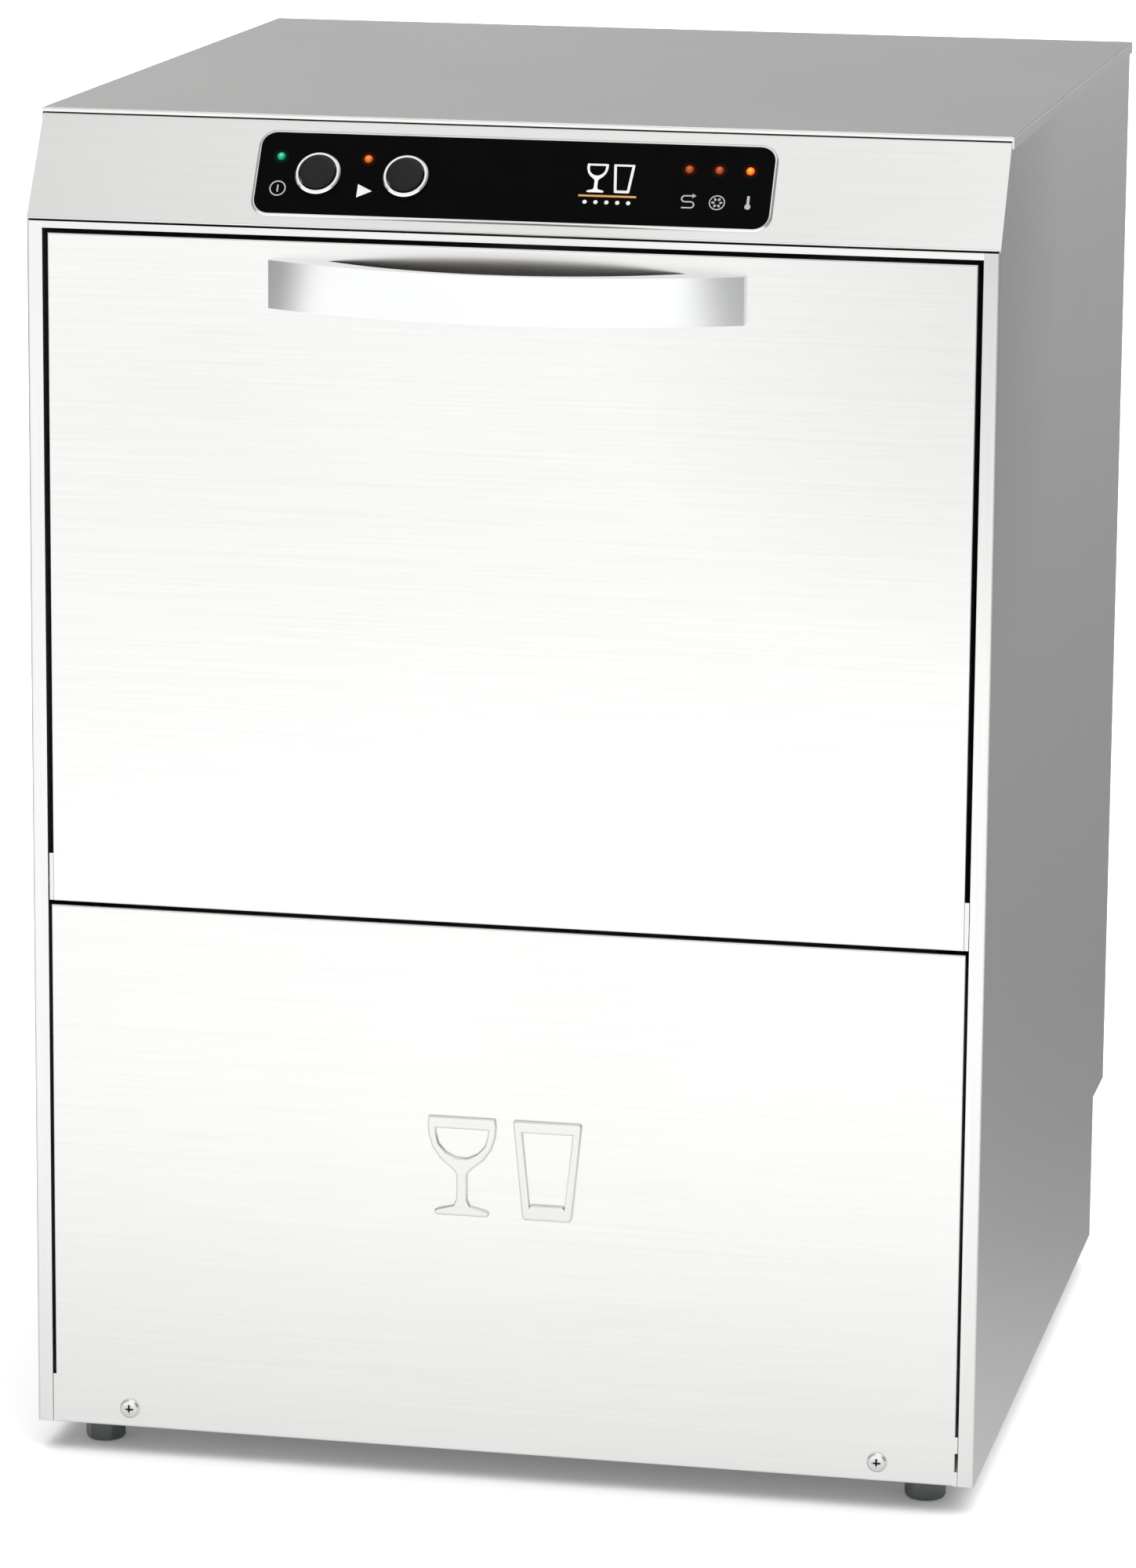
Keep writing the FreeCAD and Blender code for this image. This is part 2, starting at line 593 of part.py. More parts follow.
def make_lamps_and_board():
    lamps = []
    for x in LAMPS:
        lens = turned([("0", "-lens_depth"), ("lamp_radius", "-lens_depth"),
                       ("lamp_radius", "lens_rise - 0.8"),
                       ("0.7 * lamp_radius", "lens_rise - 0.2"), ("0", "lens_rise")])
        lamps.append(place(lens, (str(x), "lamp_up", "0")))
    keep("indicator_lenses", on_fascia(group(*lamps)))
    underside = "-(lens_depth + board_sheet)"
    plate = cut(box(span("board_half"), ("board_low", "board_top"), (underside, "-lens_depth")),
                *[rod("Z", (x, "button_up", "-(lens_depth + 3)"), "5", "barrel_radius + 1")
                  for x in ("power_x", "start_x")])
    chips = [box(span(str(wide), str(x)), span(str(tall), str(y)), ("-chip_depth", underside))
             for x, y, wide, tall in CHIPS]
    keep("control_board", on_fascia(fuse(plate, *chips)))


# ---------------------------------------------------------------- door

def make_door_skins():
    body = new_body("DoorSkin")
    corners = [("-door_half", "door_bottom"), ("door_half", "door_bottom"),
               ("door_half", "door_top"), ("-door_half", "door_top")]
    pad(body, sketch_on(body, "XZ_Plane", [(f"({x})", z) for x, z in corners],
                        "-(front + pan_depth)"), "pan_depth")
    rounded(body, "edge_radius", lambda edge: abs(middle(edge).y - FRONT_Y) < 0.01)
    hollow = box(span("door_half - skin"), ("front + skin", "liner_y + 1"),
                 ("door_bottom + skin", "door_top - skin"))
    bushes = rod("X", ("-(door_half + 1)", "hinge_y", "hinge_z"), "2 * door_half + 2",
                 "boss_radius + 0.2")
    bolts = [rod("Y", (x, "front - 1", "handle_mid"), "4", "screw_radius")
             for x in handle_bolt_places()]
    keep("door_outer_skin", cut(body, hollow, bushes, *bolts))
    sheet_metal = box(span("door_half"), ("liner_y", "liner_y + liner"),
                      ("door_bottom", "door_top"))
    raised = box(span("door_half - dish_side"),
                 ("liner_y + liner", "liner_y + liner + dish_depth"),
                 ("door_bottom + dish_low", "door_top - dish_top"))
    recess = box(span("door_half - dish_side - liner"), ("liner_y - 1", "liner_y + dish_depth"),
                 ("door_bottom + dish_low + liner", "door_top - dish_top - liner"))
    keep("door_inner_liner", cut(fuse(sheet_metal, raised), recess))


def make_door_seal():
    y = ("liner_y + liner", "liner_y + liner + seal_depth")
    wide, low, top = "frame_half - seal_inset", "frame_low + seal_low", "frame_top - seal_inset"
    outer = box(span(wide), y, (low, top))
    inner = box(span(f"{wide} - seal_width"), (y[0] + " - 1", y[1] + " + 1"),
                (f"{low} + seal_width", f"{top} - seal_width"))
    keep("door_seal", cut(outer, inner))


def handle_bolt_places():
    return [f"{sign} * (handle_half - handle_foot / 2 - 2)" for _, sign in LEFT_RIGHT]


def make_door_handle():
    """A flat bow: two feet on the door and a strip that arches forward between them."""
    half, rise = "handle_half", "handle_reach - handle_end"
    radius = f"(({half}) ^ 2 + ({rise}) ^ 2) / (2 * ({rise}))"
    low, tall = "handle_mid - handle_height / 2", "handle_height"
    outer = rod("Z", ("0", f"front - handle_reach + {radius}", low), tall, radius)
    bounds = box(span(half), ("front - handle_reach", "front"), (low, f"{low} + {tall}"))
    gap_half, gap_rise = "(handle_half - handle_foot)", "(handle_reach - handle_strip)"
    gap_radius = f"({gap_half} ^ 2 + {gap_rise} ^ 2) / (2 * {gap_rise})"
    gap = rod("Z", ("0", f"front - {gap_rise} + {gap_radius}", f"{low} - 1"), f"{tall} + 2",
              gap_radius)
    holes = [rod("Y", (x, "front - bolt_depth", "handle_mid"), "bolt_depth + 1",
                 "screw_radius") for x in handle_bolt_places()]
    keep("door_handle", cut(common(outer, bounds), gap, *holes))
    bolts = [fuse(rod("Y", (x, "front - bolt_depth", "handle_mid"), "bolt_depth + 2",
                      "screw_radius"),
                  rod("Y", (x, "front + skin", "handle_mid"), "bolt_head_height", "bolt_head"))
             for x in handle_bolt_places()]
    keep("handle_bolts", group(*bolts))


def make_hinges():
    pins, springs, brackets = [], [], []
    for name, sign in LEFT_RIGHT:
        def start(x, length, sign=sign):
            return f"{sign} * ({x}) - ({length}) * {(1 - sign) // 2}"
        side = start("door_half", "arm_plate")
        plate = box((side, side + " + arm_plate"), ("front + 1.2", "front + 28"),
                    ("door_bottom + 0.3", "door_bottom + arm_height"))
        boss = rod("X", (start("door_half - boss_length", "boss_length"), "hinge_y", "hinge_z"),
                   "boss_length", "boss_radius")
        bore = rod("X", (start("door_half - 30", "40"), "hinge_y", "hinge_z"), "40",
                   "pin_radius + pin_clearance")
        keep(f"hinge_arm_{name}", cut(fuse(plate, boss), bore))
        inside = start("return_x + skin", "bracket_width")
        block = box((inside, inside + " + bracket_width"), ("front + 3", "front + 24"),
                    ("hinge_z - 15", "hinge_z + 25"))
        seat = rod("X", (start("return_x", "12"), "hinge_y", "hinge_z"), "12", "pin_radius")
        brackets.append(cut(block, seat))
        pin_end = start("door_half - pin_inside", "pin_length")
        pins.append(rod("X", (pin_end, "hinge_y", "hinge_z"), "pin_length", "pin_radius"))
        spring_end = start("door_half - spring_length - 2", "spring_length")
        springs.append(ring("X", (spring_end, "hinge_y", "hinge_z"), "spring_length",
                            "spring_radius", "boss_radius + 0.6"))
    keep("hinge_brackets", group(*brackets))
    keep("hinge_pins", group(*pins))
    keep("door_springs", group(*springs))


def make_door_switch():
    keep("door_magnet", box(span("magnet_half", "reed_x"), ("liner_y - 12", "liner_y"),
                            ("door_top - 20", "door_top - 4")))
    keep("door_switch", box(span("reed_half", "reed_x"),
                            ("tub_y + tub_wall", "tub_y + tub_wall + 12"),
                            ("tub_ceiling + tub_wall + 0.5", "tub_ceiling + 11")))


# ---------------------------------------------------------------- wash chamber

def make_tub():
    outer = box(span("tub_half + tub_wall"), ("tub_y", "tub_back + tub_wall"),
                ("tub_floor - tub_wall", "tub_ceiling + tub_wall"))
    frame = box(span("frame_half"), ("tub_y", "tub_y + tub_wall"),
                ("frame_low", "frame_top"))
    inside = box(span("tub_half"), ("tub_y + tub_wall", "tub_back"),
                 ("tub_floor", "tub_ceiling"))
    mouth = box(span("mouth_half"), ("tub_y - 1", "tub_y + 5"), ("mouth_low", "mouth_top"))
    sump = box(span("sump_half"), span("sump_half", "mid"), ("tub_floor - 5", "tub_floor + 1"))
    feed = rod("Z", ("0", "mid", "tub_ceiling - 1"), "5", "spindle_radius")
    keep("wash_tub", cut(fuse(outer, frame), inside, mouth, sump, feed))
    tank = shell(span("tank_half"), span("tank_half", "mid"),
                 ("tank_bottom", "tub_floor - tub_wall"), "tub_wall", "top")
    suction = rod("Z", ("0", "pump_y", "tank_bottom - 1"), "5", "pipe_radius")
    heater = [rod("Y", (x, "mid - tank_half - 1", "element_z"), "4", "element_radius")
              for x in ("-element_x", "element_x")]
    keep("wash_tank", cut(tank, suction, *heater))


def make_filters():
    low = "tub_floor"
    plate = box(span("sump_half + 6"), span("sump_half + 6", "mid"),
                (low, f"{low} + filter_sheet"))
    slots = [box(span("slot_half", f"{column} * slot_step"),
                 span("slot_width / 2", f"mid + {line} * slot_pitch"),
                 (f"{low} - 1", f"{low} + 4"))
             for column, first in ((-2, -4), (2, -1)) for line in range(first, first + 6)]
    holes = [rod("Z", ("strainer_off", "mid - strainer_off", f"{low} - 1"), "5",
                 "strainer_radius + 0.5"),
             rod("Z", ("-overflow_off", "mid + overflow_off", f"{low} - 1"), "5",
                 "overflow_radius + 0.5"),
             rod("Z", ("0", "mid", f"{low} - 1"), "5", "spindle_radius")]
    keep("tank_filter", cut(plate, *slots, *holes))
    profile = [("strainer_radius - 1", "tank_bottom + 6"), ("strainer_radius", "tank_bottom + 6"),
               ("strainer_radius", f"{low} + filter_sheet"),
               ("strainer_radius + 5", f"{low} + filter_sheet"),
               ("strainer_radius + 5", f"{low} + filter_sheet + 1.5"),
               ("strainer_radius - 1", f"{low} + filter_sheet + 1.5")]
    basket = turned(profile)
    base = rod("Z", ("0", "0", "tank_bottom + 5"), "1", "strainer_radius")
    bail = box(span("strainer_radius - 1"), span("2"),
               (f"{low} + filter_sheet - 0.5", f"{low} + filter_sheet + 1.5"))
    keep("sump_strainer", place(fuse(basket, base, bail),
                                ("strainer_off", "mid - strainer_off", "0")))
    pipe = turned([("overflow_radius - 2", "tank_bottom + 3"),
                   ("overflow_radius", "tank_bottom + 3"), ("overflow_radius", f"{low} + 14"),
                   ("overflow_radius + 3", f"{low} + 16"), ("overflow_radius + 3", f"{low} + 22"),
                   ("overflow_radius - 2", f"{low} + 24")])
    keep("overflow_pipe", place(pipe, ("-overflow_off", "mid + overflow_off", "0")))


def make_rack_rails():
    rails = []
    for _, sign in LEFT_RIGHT:
        y = ("tub_y + tub_wall + rail_gap", "tub_back - rail_gap")
        ledge = box(span("rail_width / 2", f"{sign} * (tub_half - rail_width / 2)"), y,
                    ("rail_height - rail_sheet", "rail_height"))
        web = box(span("rail_sheet / 2", f"{sign} * (tub_half - rail_sheet / 2)"), y,
                  ("rail_height - rail_depth", "rail_height"))
        rails.append(fuse(ledge, web))
    keep("rack_rails", group(*rails))


def spray_arm(length, hub, low, high, width, thick, turn, nozzle_up):
    """A spray arm about Z: a hub and a flat round-ended bar with a row of nozzles."""
    middle_z = f"(({low}) + ({high})) / 2"
    bar_z = f"{middle_z} - {thick} / 2"
    bar = box(span(f"({length} - {width}) / 2"), span(f"{width} / 2"),
              (bar_z, f"{bar_z} + {thick}"))
    ends = [rod("Z", (f"{sign} * ({length} - {width}) / 2", "0", bar_z), thick,
                f"{width} / 2") for _, sign in LEFT_RIGHT]
    boss = rod("Z", ("0", "0", low), f"({high}) - ({low})", hub)
    face = f"{bar_z} + {thick}" if nozzle_up else f"{bar_z} - nozzle_height"
    places = [f"{sign} * (nozzle_first + {i} * ({length} - nozzle_margin) / 8)"
              for _, sign in LEFT_RIGHT for i in range(5)]
    nozzles = [rod("Z", (x, "0", face), "nozzle_height", "nozzle_radius") for x in places]
    jets = [box(span("nozzle_radius - 1.3", x), span("jet_half"),
                (f"{face} - 1", f"{face} + nozzle_height + 1")) for x in places]
    bore = rod("Z", ("0", "0", f"{low} - 1"), f"({high}) - ({low}) + 2",
               "spindle_radius + pin_clearance")
    arm = cut(fuse(bar, boss, *ends, *nozzles), bore, *jets)
    arm.Placement = FreeCAD.Placement(FreeCAD.Vector(),
                                      FreeCAD.Rotation(FreeCAD.Vector(0, 0, 1), turn))
    return place(arm, ("0", "mid", "0"))


def make_arms():
    floor, top = "tub_floor + filter_sheet", "tub_ceiling"
    wash = ("collar + arm_gap", "wash_top")
    rinse = ("wash_top + arm_gap", "rinse_top")
    wash_arm = ("wash_length", "wash_hub", "wash_width", "wash_thick")
    rinse_arm = ("rinse_length", "rinse_hub", "rinse_width", "rinse_thick")
    for name, (low, high), (length, hub, width, thick), below, above in (
            ("wash", wash, wash_arm, 18, -24), ("rinse", rinse, rinse_arm, 74, 46)):
        keep(f"lower_{name}_arm", spray_arm(length, hub, f"{floor} + {low}", f"{floor} + {high}",
                                            width, thick, below, True))
        keep(f"upper_{name}_arm", spray_arm(length, hub, f"{top} - ({high})",
                                            f"{top} - ({low})", width, thick, above, False))
    at = ("0", "mid")
    lower = fuse(rod("Z", (*at, floor), "spindle_rise", "spindle_radius"),
                 rod("Z", (*at, floor), "collar", "spindle_radius + 7"))
    upper = fuse(rod("Z", (*at, f"{top} - spindle_rise"), "spindle_rise + tub_wall",
                     "spindle_radius"),
                 rod("Z", (*at, f"{top} - collar"), "collar", "spindle_radius + 7"))
    keep("arm_spindles", group(lower, upper))
    nuts = [ring("Z", (*at, low), "arm_nut", "spindle_radius + 6", "spindle_radius")
            for low in (f"{floor} + rinse_top + arm_gap",
                        f"{top} - rinse_top - arm_gap - arm_nut")]
    keep("arm_nuts", group(*nuts))


# ---------------------------------------------------------------- machinery in the base

def pipe_run(points, radius):
    """A pipe through points, each stretch along one axis, with a ball at every turn."""
    pieces = []
    for start, end in zip(points, points[1:]):
        axis = [i for i in range(3) if start[i] != end[i]][0]
        low = list(start)
        low[axis] = f"min({start[axis]}; {end[axis]})"
        length = f"abs(({end[axis]}) - ({start[axis]}))"
        pieces.append(rod("XYZ"[axis], low, length, radius))
    pieces += [ball(point, radius) for point in points[1:-1]]
    return fuse(*pieces)


def make_pipes():
    riser = [("outlet_x", "outlet_y", "pump_z + 60"), ("outlet_x", "outlet_y", "pump_z + 100"),
             ("outlet_x", "riser_y", "pump_z + 100"), ("outlet_x", "riser_y", "riser_top"),
             ("0", "riser_y", "riser_top"), ("0", "mid", "riser_top"),
             ("0", "mid", "tub_ceiling + tub_wall")]
    keep("wash_riser", pipe_run(riser, "pipe_radius"))
    suction = [("0", "pump_y", "tank_bottom"), ("0", "pump_y", "pump_z"),
               ("pump_x", "pump_y", "pump_z")]
    keep("suction_pipe", pipe_run(suction, "pipe_radius"))
    top = "riser_top + 22"
    out_y, across = "boiler_length / 2 - boiler_outlet", "boiler_z + boiler_radius + 30"
    rinse = [("boiler_x", out_y, "boiler_z + boiler_radius - 2"), ("boiler_x", out_y, across),
             ("boiler_x", "riser_y", across), ("boiler_x", "riser_y", top),
             ("0", "riser_y", top), ("0", "mid - 30", top)]
    keep("rinse_pipe", pipe_run(rinse, "rinse_radius"))


def make_wash_pump():
    def turning(start, length, radius):
        return rod("X", (f"pump_x + {start}", "pump_y", "pump_z"), length, radius)
    outlet = ("outlet_x", "outlet_y", "pump_z + 20")
    feet = box(span("pump_foot", "pump_x + 105"), span("pump_foot", "pump_y"),
               ("casing_bottom + tray_sheet", "pump_z - motor_radius + 4"))
    solid = fuse(turning("0", "volute_length", "volute_radius"), feet,
                 turning("motor_start", "motor_length", "motor_radius"),
                 rod("Z", outlet, "40", "pipe_radius + 3"))
    keep("wash_pump", cut(
        solid, turning("4", "volute_length - 10", "volute_radius - 5"),
        turning("motor_start + 6", "motor_length - 13", "motor_radius - 6"),
        turning("-1", "6", "pipe_radius"),
        turning("motor_start - 5", "20", "shaft_radius + pin_clearance"),
        rod("Z", outlet, "41", "pipe_radius")))
    keep("pump_rotor", fuse(turning("impeller_start", "impeller_length", "volute_radius - 12"),
                            turning("impeller_start", "shaft_length", "shaft_radius"),
                            turning("armature_start", "armature_length", "motor_radius - 12")))


def make_boiler():
    y, z = "-boiler_length / 2", "boiler_z"
    outside = rod("Y", ("boiler_x", y, z), "boiler_length", "boiler_radius")
    hollow = rod("Y", ("boiler_x", f"{y} + boiler_wall", z), "boiler_length - 2 * boiler_wall",
                 "boiler_radius - boiler_wall")
    port = rod("Y", ("boiler_x", f"{y} - 1", z), "4", "boiler_port")
    outlet = rod("Z", ("boiler_x", f"{y} + boiler_length - boiler_outlet",
                       f"{z} + boiler_radius - 5"), "10", "rinse_radius")
    keep("boiler", cut(outside, hollow, port, outlet))
    cradles = [cut(box(span("cradle_half", "boiler_x"), span("cradle_sheet / 2", where),
                       ("casing_bottom + tray_sheet", f"{z} - boiler_radius * 0.7")),
                   rod("Y", ("boiler_x", y, z), "boiler_length", "boiler_radius"))
               for where in ("-cradle_y", "cradle_y")]
    keep("boiler_cradles", group(*cradles))
    flange = rod("Y", ("boiler_x", f"{y} - flange_sheet", z), "flange_sheet", "flange_radius")
    plug = rod("Y", ("boiler_x", y, z), "3", "boiler_port")
    loops = [rod("Y", (f"boiler_x + {dx}", f"{y} + 1", f"{z} + {dz}"), "loop_length",
                 "element_radius") for dx, dz in ((-14, -8), (14, -8), (0, 14))]
    keep("boiler_element", fuse(flange, plug, *loops))


def make_tank_element():
    """A hairpin heater low in the tank, on a flange outside the tank's front wall."""
    near, far = "mid - tank_half - 12", "mid + 120"
    left, right = "-element_x", "element_x"
    leg = pipe_run([(left, near, "element_z"), (left, far, "element_z"),
                    (right, far, "element_z")], "element_radius")
    back_leg = rod("Y", (right, near, "element_z"), f"({far}) - ({near})", "element_radius")
    end = ball((right, far, "element_z"), "element_radius")
    flange = box(span("element_x + 16"), ("mid - tank_half - 6", "mid - tank_half"),
                 span("12", "element_z"))
    keep("tank_element", fuse(leg, back_leg, end, flange))


def make_water_fittings():
    def spout(x, start, length, radius):
        return rod("Y", (x, f"notch_y + {start}", "service_z"), length, radius)
    coil = box(span("22", "inlet_x"), ("notch_y - 52", "notch_y - 12"), span("20", "service_z"))
    solenoid = rod("Z", ("inlet_x", "notch_y - 34", "service_z + 18"), "26", "14")
    keep("inlet_valve", cut(fuse(spout("inlet_x", "0", "inlet_length", "inlet_radius"),
                                 spout("inlet_x", "-12", "12", "inlet_radius - 0.6"),
                                 coil, solenoid),
                            spout("inlet_x", "2", "inlet_length", "inlet_bore")))
    keep("drain_pump", cut(fuse(spout("drain_x", "-70", "drum_length", "drum_radius"),
                                spout("drain_x", "0", "drain_length", "drain_radius"),
                                spout("drain_x", "-12", "12", "drain_radius - 0.5")),
                           spout("drain_x", "2", "drain_length", "drain_bore")))
    keep("rinse_aid_pump", fuse(
        box(span("dosing_half", "dosing_x"), ("notch_y - 43", "notch_y - 3"),
            span("dosing_half + 2", "service_z")),
        spout("dosing_x", "-62", "20", "20")))
    keep("cable_gland", cut(fuse(spout("gland_x", "-14", "14", "gland_hole"),
                                 spout("gland_x", "0", "20", "gland_cap"),
                                 spout("gland_x", "-8", "7", "gland_cap + 1")),
                            spout("gland_x", "-20", "45", "gland_bore")))


# ---------------------------------------------------------------- build, check and write

make_base_tray()
for side_name, side_sign in LEFT_RIGHT:
    make_side_panel(side_name, side_sign)
make_back_panel()
make_service_plate()
make_top_lid()
make_front_header()
make_lower_front_panel()
make_screws()
make_feet()
make_control_panel()
make_fascia_overlay()
make_buttons()
make_lamps_and_board()
make_door_skins()
make_door_seal()
make_door_handle()
make_hinges()
make_door_switch()
make_tub()
make_filters()
make_rack_rails()
make_arms()
make_pipes()
make_wash_pump()
make_boiler()
make_tank_element()
make_water_fittings()
doc.recompute()

for thing in doc.Objects:
    if "Invalid" in thing.State or "Error" in thing.State:
        raise SystemExit(f"{thing.Name} ({thing.Label}) failed: {thing.ExpressionEngine}")
os.makedirs("parts", exist_ok=True)
for label, thing in parts.items():
    if thing.Shape.isNull() or not thing.Shape.isValid() or not thing.Shape.Solids:
        raise SystemExit(f"{label} has no valid solid")
    thing.Shape.exportStep(f"parts/{label}.step")
print(len(parts), "sub-parts written")
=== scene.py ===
"""Finishes, small details, studio and camera for the glass washer."""

import math

import bmesh
import bpy
from mathutils import Matrix, Vector


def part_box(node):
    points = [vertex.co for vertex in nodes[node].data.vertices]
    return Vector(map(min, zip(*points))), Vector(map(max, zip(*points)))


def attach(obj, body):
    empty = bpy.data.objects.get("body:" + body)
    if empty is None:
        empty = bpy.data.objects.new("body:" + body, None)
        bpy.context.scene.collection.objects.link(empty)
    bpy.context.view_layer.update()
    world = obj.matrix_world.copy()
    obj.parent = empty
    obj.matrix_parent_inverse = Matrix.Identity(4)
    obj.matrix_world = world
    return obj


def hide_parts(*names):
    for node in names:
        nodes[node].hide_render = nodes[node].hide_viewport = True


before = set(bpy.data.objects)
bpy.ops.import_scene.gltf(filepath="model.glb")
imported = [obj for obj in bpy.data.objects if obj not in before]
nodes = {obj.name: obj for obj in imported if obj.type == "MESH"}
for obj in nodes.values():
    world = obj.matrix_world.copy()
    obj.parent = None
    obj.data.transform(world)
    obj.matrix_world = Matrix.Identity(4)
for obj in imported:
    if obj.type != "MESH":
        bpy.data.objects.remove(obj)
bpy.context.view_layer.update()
scene = bpy.context.scene
MM = 0.001

# ---------------------------------------------------------------- camera

CAMERA_AT = (0.7812, -3.8915, 1.2331)  # metres
YAW, PITCH, ROLL = (math.radians(a) for a in (11.62, 12.27, 0.46))
FOCAL_SHARE = 4.103  # focal length over the picture's height
SENSOR = 36  # mm


def make_camera():
    """A camera in front and to the right, looking a little down, with no shift."""
    ahead = Vector((-math.sin(YAW) * math.cos(PITCH), math.cos(YAW) * math.cos(PITCH),
                    -math.sin(PITCH)))
    right = Vector((math.cos(YAW), math.sin(YAW), 0))
    up = right.cross(ahead)
    across = right * math.cos(ROLL) + up * math.sin(ROLL)
    over = up * math.cos(ROLL) - right * math.sin(ROLL)
    lens = bpy.data.cameras.new("camera")
    lens.sensor_fit = "VERTICAL"
    lens.sensor_height = SENSOR
    lens.lens = FOCAL_SHARE * SENSOR
    lens.clip_end = 100
    camera = bpy.data.objects.new("camera", lens)
    turn = Matrix((across, over, -ahead)).transposed()
    camera.matrix_world = Matrix.Translation(CAMERA_AT) @ turn.to_4x4()
    scene.collection.objects.link(camera)
    scene.camera = camera


# ---------------------------------------------------------------- materials

class Nodes:
    """Short ways to build one node tree."""

    def __init__(self, tree):
        self.tree = tree

    def fill(self, node, values):
        for name, value in values.items():
            node.inputs[name].default_value = value

    def add(self, kind, **values):
        node = self.tree.nodes.new("ShaderNode" + kind)
        self.fill(node, {name.replace("_", " "): value for name, value in values.items()})
        return node

    def link(self, output, socket):
        self.tree.links.new(output, socket)

    def axes(self, output):
        split = self.add("SeparateXYZ")
        self.link(output, split.inputs[0])
        return split.outputs

    def math(self, operation, *values):
        """Arithmetic on outputs or plain numbers."""
        node = self.add("Math")
        node.operation = operation
        for socket, value in zip(node.inputs, values):
            if isinstance(value, (int, float)):
                socket.default_value = value
            else:
                self.link(value, socket)
        return node.outputs[0]

    def spread(self, value, low, high, start=0.3, end=0.7):
        """Maps start..end of a value to low..high, numbers or outputs."""
        node = self.add("MapRange", From_Min=start, From_Max=end)
        self.link(value, node.inputs["Value"])
        for name, bound in (("To Min", low), ("To Max", high)):
            if isinstance(bound, (int, float)):
                node.inputs[name].default_value = bound
            else:
                self.link(bound, node.inputs[name])
        return node.outputs["Result"]

    def ramp(self, value, stops):
        """Colours along a value from (place, colour) pairs."""
        node = self.add("ValToRGB")
        row = node.color_ramp.elements
        while len(row) < len(stops):
            row.new(0.5)
        for stop, (at, colour) in zip(row, stops):
            stop.position = at
            stop.color = (*colour, 1)
        self.link(value, node.inputs["Fac"])
        return node.outputs["Color"]

    def graph(self, value, points):
        """A broken line through (value, level) points, flat beyond its ends."""
        start, end = points[0][0], points[-1][0]
        most = max(level for _, level in points)
        share = self.spread(value, 0.0, 1.0, start, end)
        stops = [((at - start) / (end - start), (level / most,) * 3) for at, level in points]
        return self.math("MULTIPLY", self.ramp(share, stops), most)


class Look(Nodes):
    """A material with a Principled shader."""

    def __init__(self, name, colour, metallic=0.0, roughness=0.5, **sockets):
        self.material = bpy.data.materials.new(name)
        self.material.use_nodes = True
        super().__init__(self.material.node_tree)
        self.shader = self.tree.nodes["Principled BSDF"]
        self.colour = colour
        self.fill(self.shader, {"Base Color": (*colour, 1), "Metallic": metallic,
                                "Roughness": roughness, **sockets})
        self.place = self.add("TexCoord").outputs["Object"]
        self.normal = None

    def noise(self, scale, detail=3.0, rough=0.5):
        """Noise whose features are scale per metre, given once or per axis."""
        per_axis = scale if isinstance(scale, (tuple, list)) else (scale,) * 3
        mapping = self.add("Mapping", Scale=per_axis)
        self.link(self.place, mapping.inputs["Vector"])
        node = self.add("TexNoise", Scale=1.0, Detail=detail, Roughness=rough)
        self.link(mapping.outputs["Vector"], node.inputs["Vector"])
        return node.outputs["Fac"]

    def tint(self, value, low, high, start=0.3, end=0.7):
        """Base colour between two multiples of itself."""
        shades = [tuple(min(1.0, c * share) for c in self.colour) for share in (low, high)]
        self.link(self.ramp(value, [(start, shades[0]), (end, shades[1])]),
                  self.shader.inputs["Base Color"])

    def darken(self, middle, reach, share):
        """Lowers the base colour to a share of itself at a place, fading over a reach: a patch of
        painted shade.
        """
        away = self.add("VectorMath")
        away.operation = "DISTANCE"
        self.link(self.place, away.inputs[0])
        away.inputs[1].default_value = middle
        dimmed = self.add("VectorMath")
        dimmed.operation = "SCALE"
        base = self.shader.inputs["Base Color"]
        self.link(base.links[0].from_socket, dimmed.inputs[0])
        self.link(self.spread(away.outputs["Value"], share, 1.0, 0.0, reach),
                  dimmed.inputs["Scale"])
        self.link(dimmed.outputs[0], base)

    def rough(self, value, low, high):
        self.link(self.spread(value, low, high), self.shader.inputs["Roughness"])

    def soft_edges(self, radius):
        node = self.add("Bevel", Radius=radius)
        node.samples = 4
        self.normal = node.outputs["Normal"]
        self.link(self.normal, self.shader.inputs["Normal"])

    def bump(self, value, depth):
        node = self.add("Bump", Strength=1.0, Distance=depth)
        self.link(value, node.inputs["Height"])
        if self.normal:
            self.link(self.normal, node.inputs["Normal"])
        self.normal = node.outputs["Normal"]
        self.link(self.normal, self.shader.inputs["Normal"])

    def glow(self, colour, strength):
        self.link(colour, self.shader.inputs["Emission Color"])
        self.shader.inputs["Emission Strength"].default_value = strength

    def from_centre(self, radius):
        """Distance from the piece's own Z axis, 0 at it and 1 at radius."""
        at = self.axes(self.place)
        flat = self.add("CombineXYZ")
        for axis in "XY":
            self.link(at[axis], flat.inputs[axis])
        length = self.add("VectorMath")
        length.operation = "LENGTH"
        self.link(flat.outputs[0], length.inputs[0])
        return self.spread(length.outputs["Value"], 0, 1, 0, radius)


PAINTED_SHADE_PATCH = (0.3, -0.28, 0.76), 0.26  # the middle and reach of a patch of painted shade, in metres
# noise features per metre across and along the grain
FINE_LINES, FAINT_CLOUDS = (2600.0, 14.0), (500.0, 5.0)
OVERLAY_INK = (0.0016, 0.0016, 0.0015)
BLACK_GLOSS = {"Specular IOR Level": 0.02}


def grained(scales, grain):
    """Noise scales per axis for a grain that runs along one of them."""
    across, along = scales
    return [along if axis == grain else across for axis in "XYZ"]


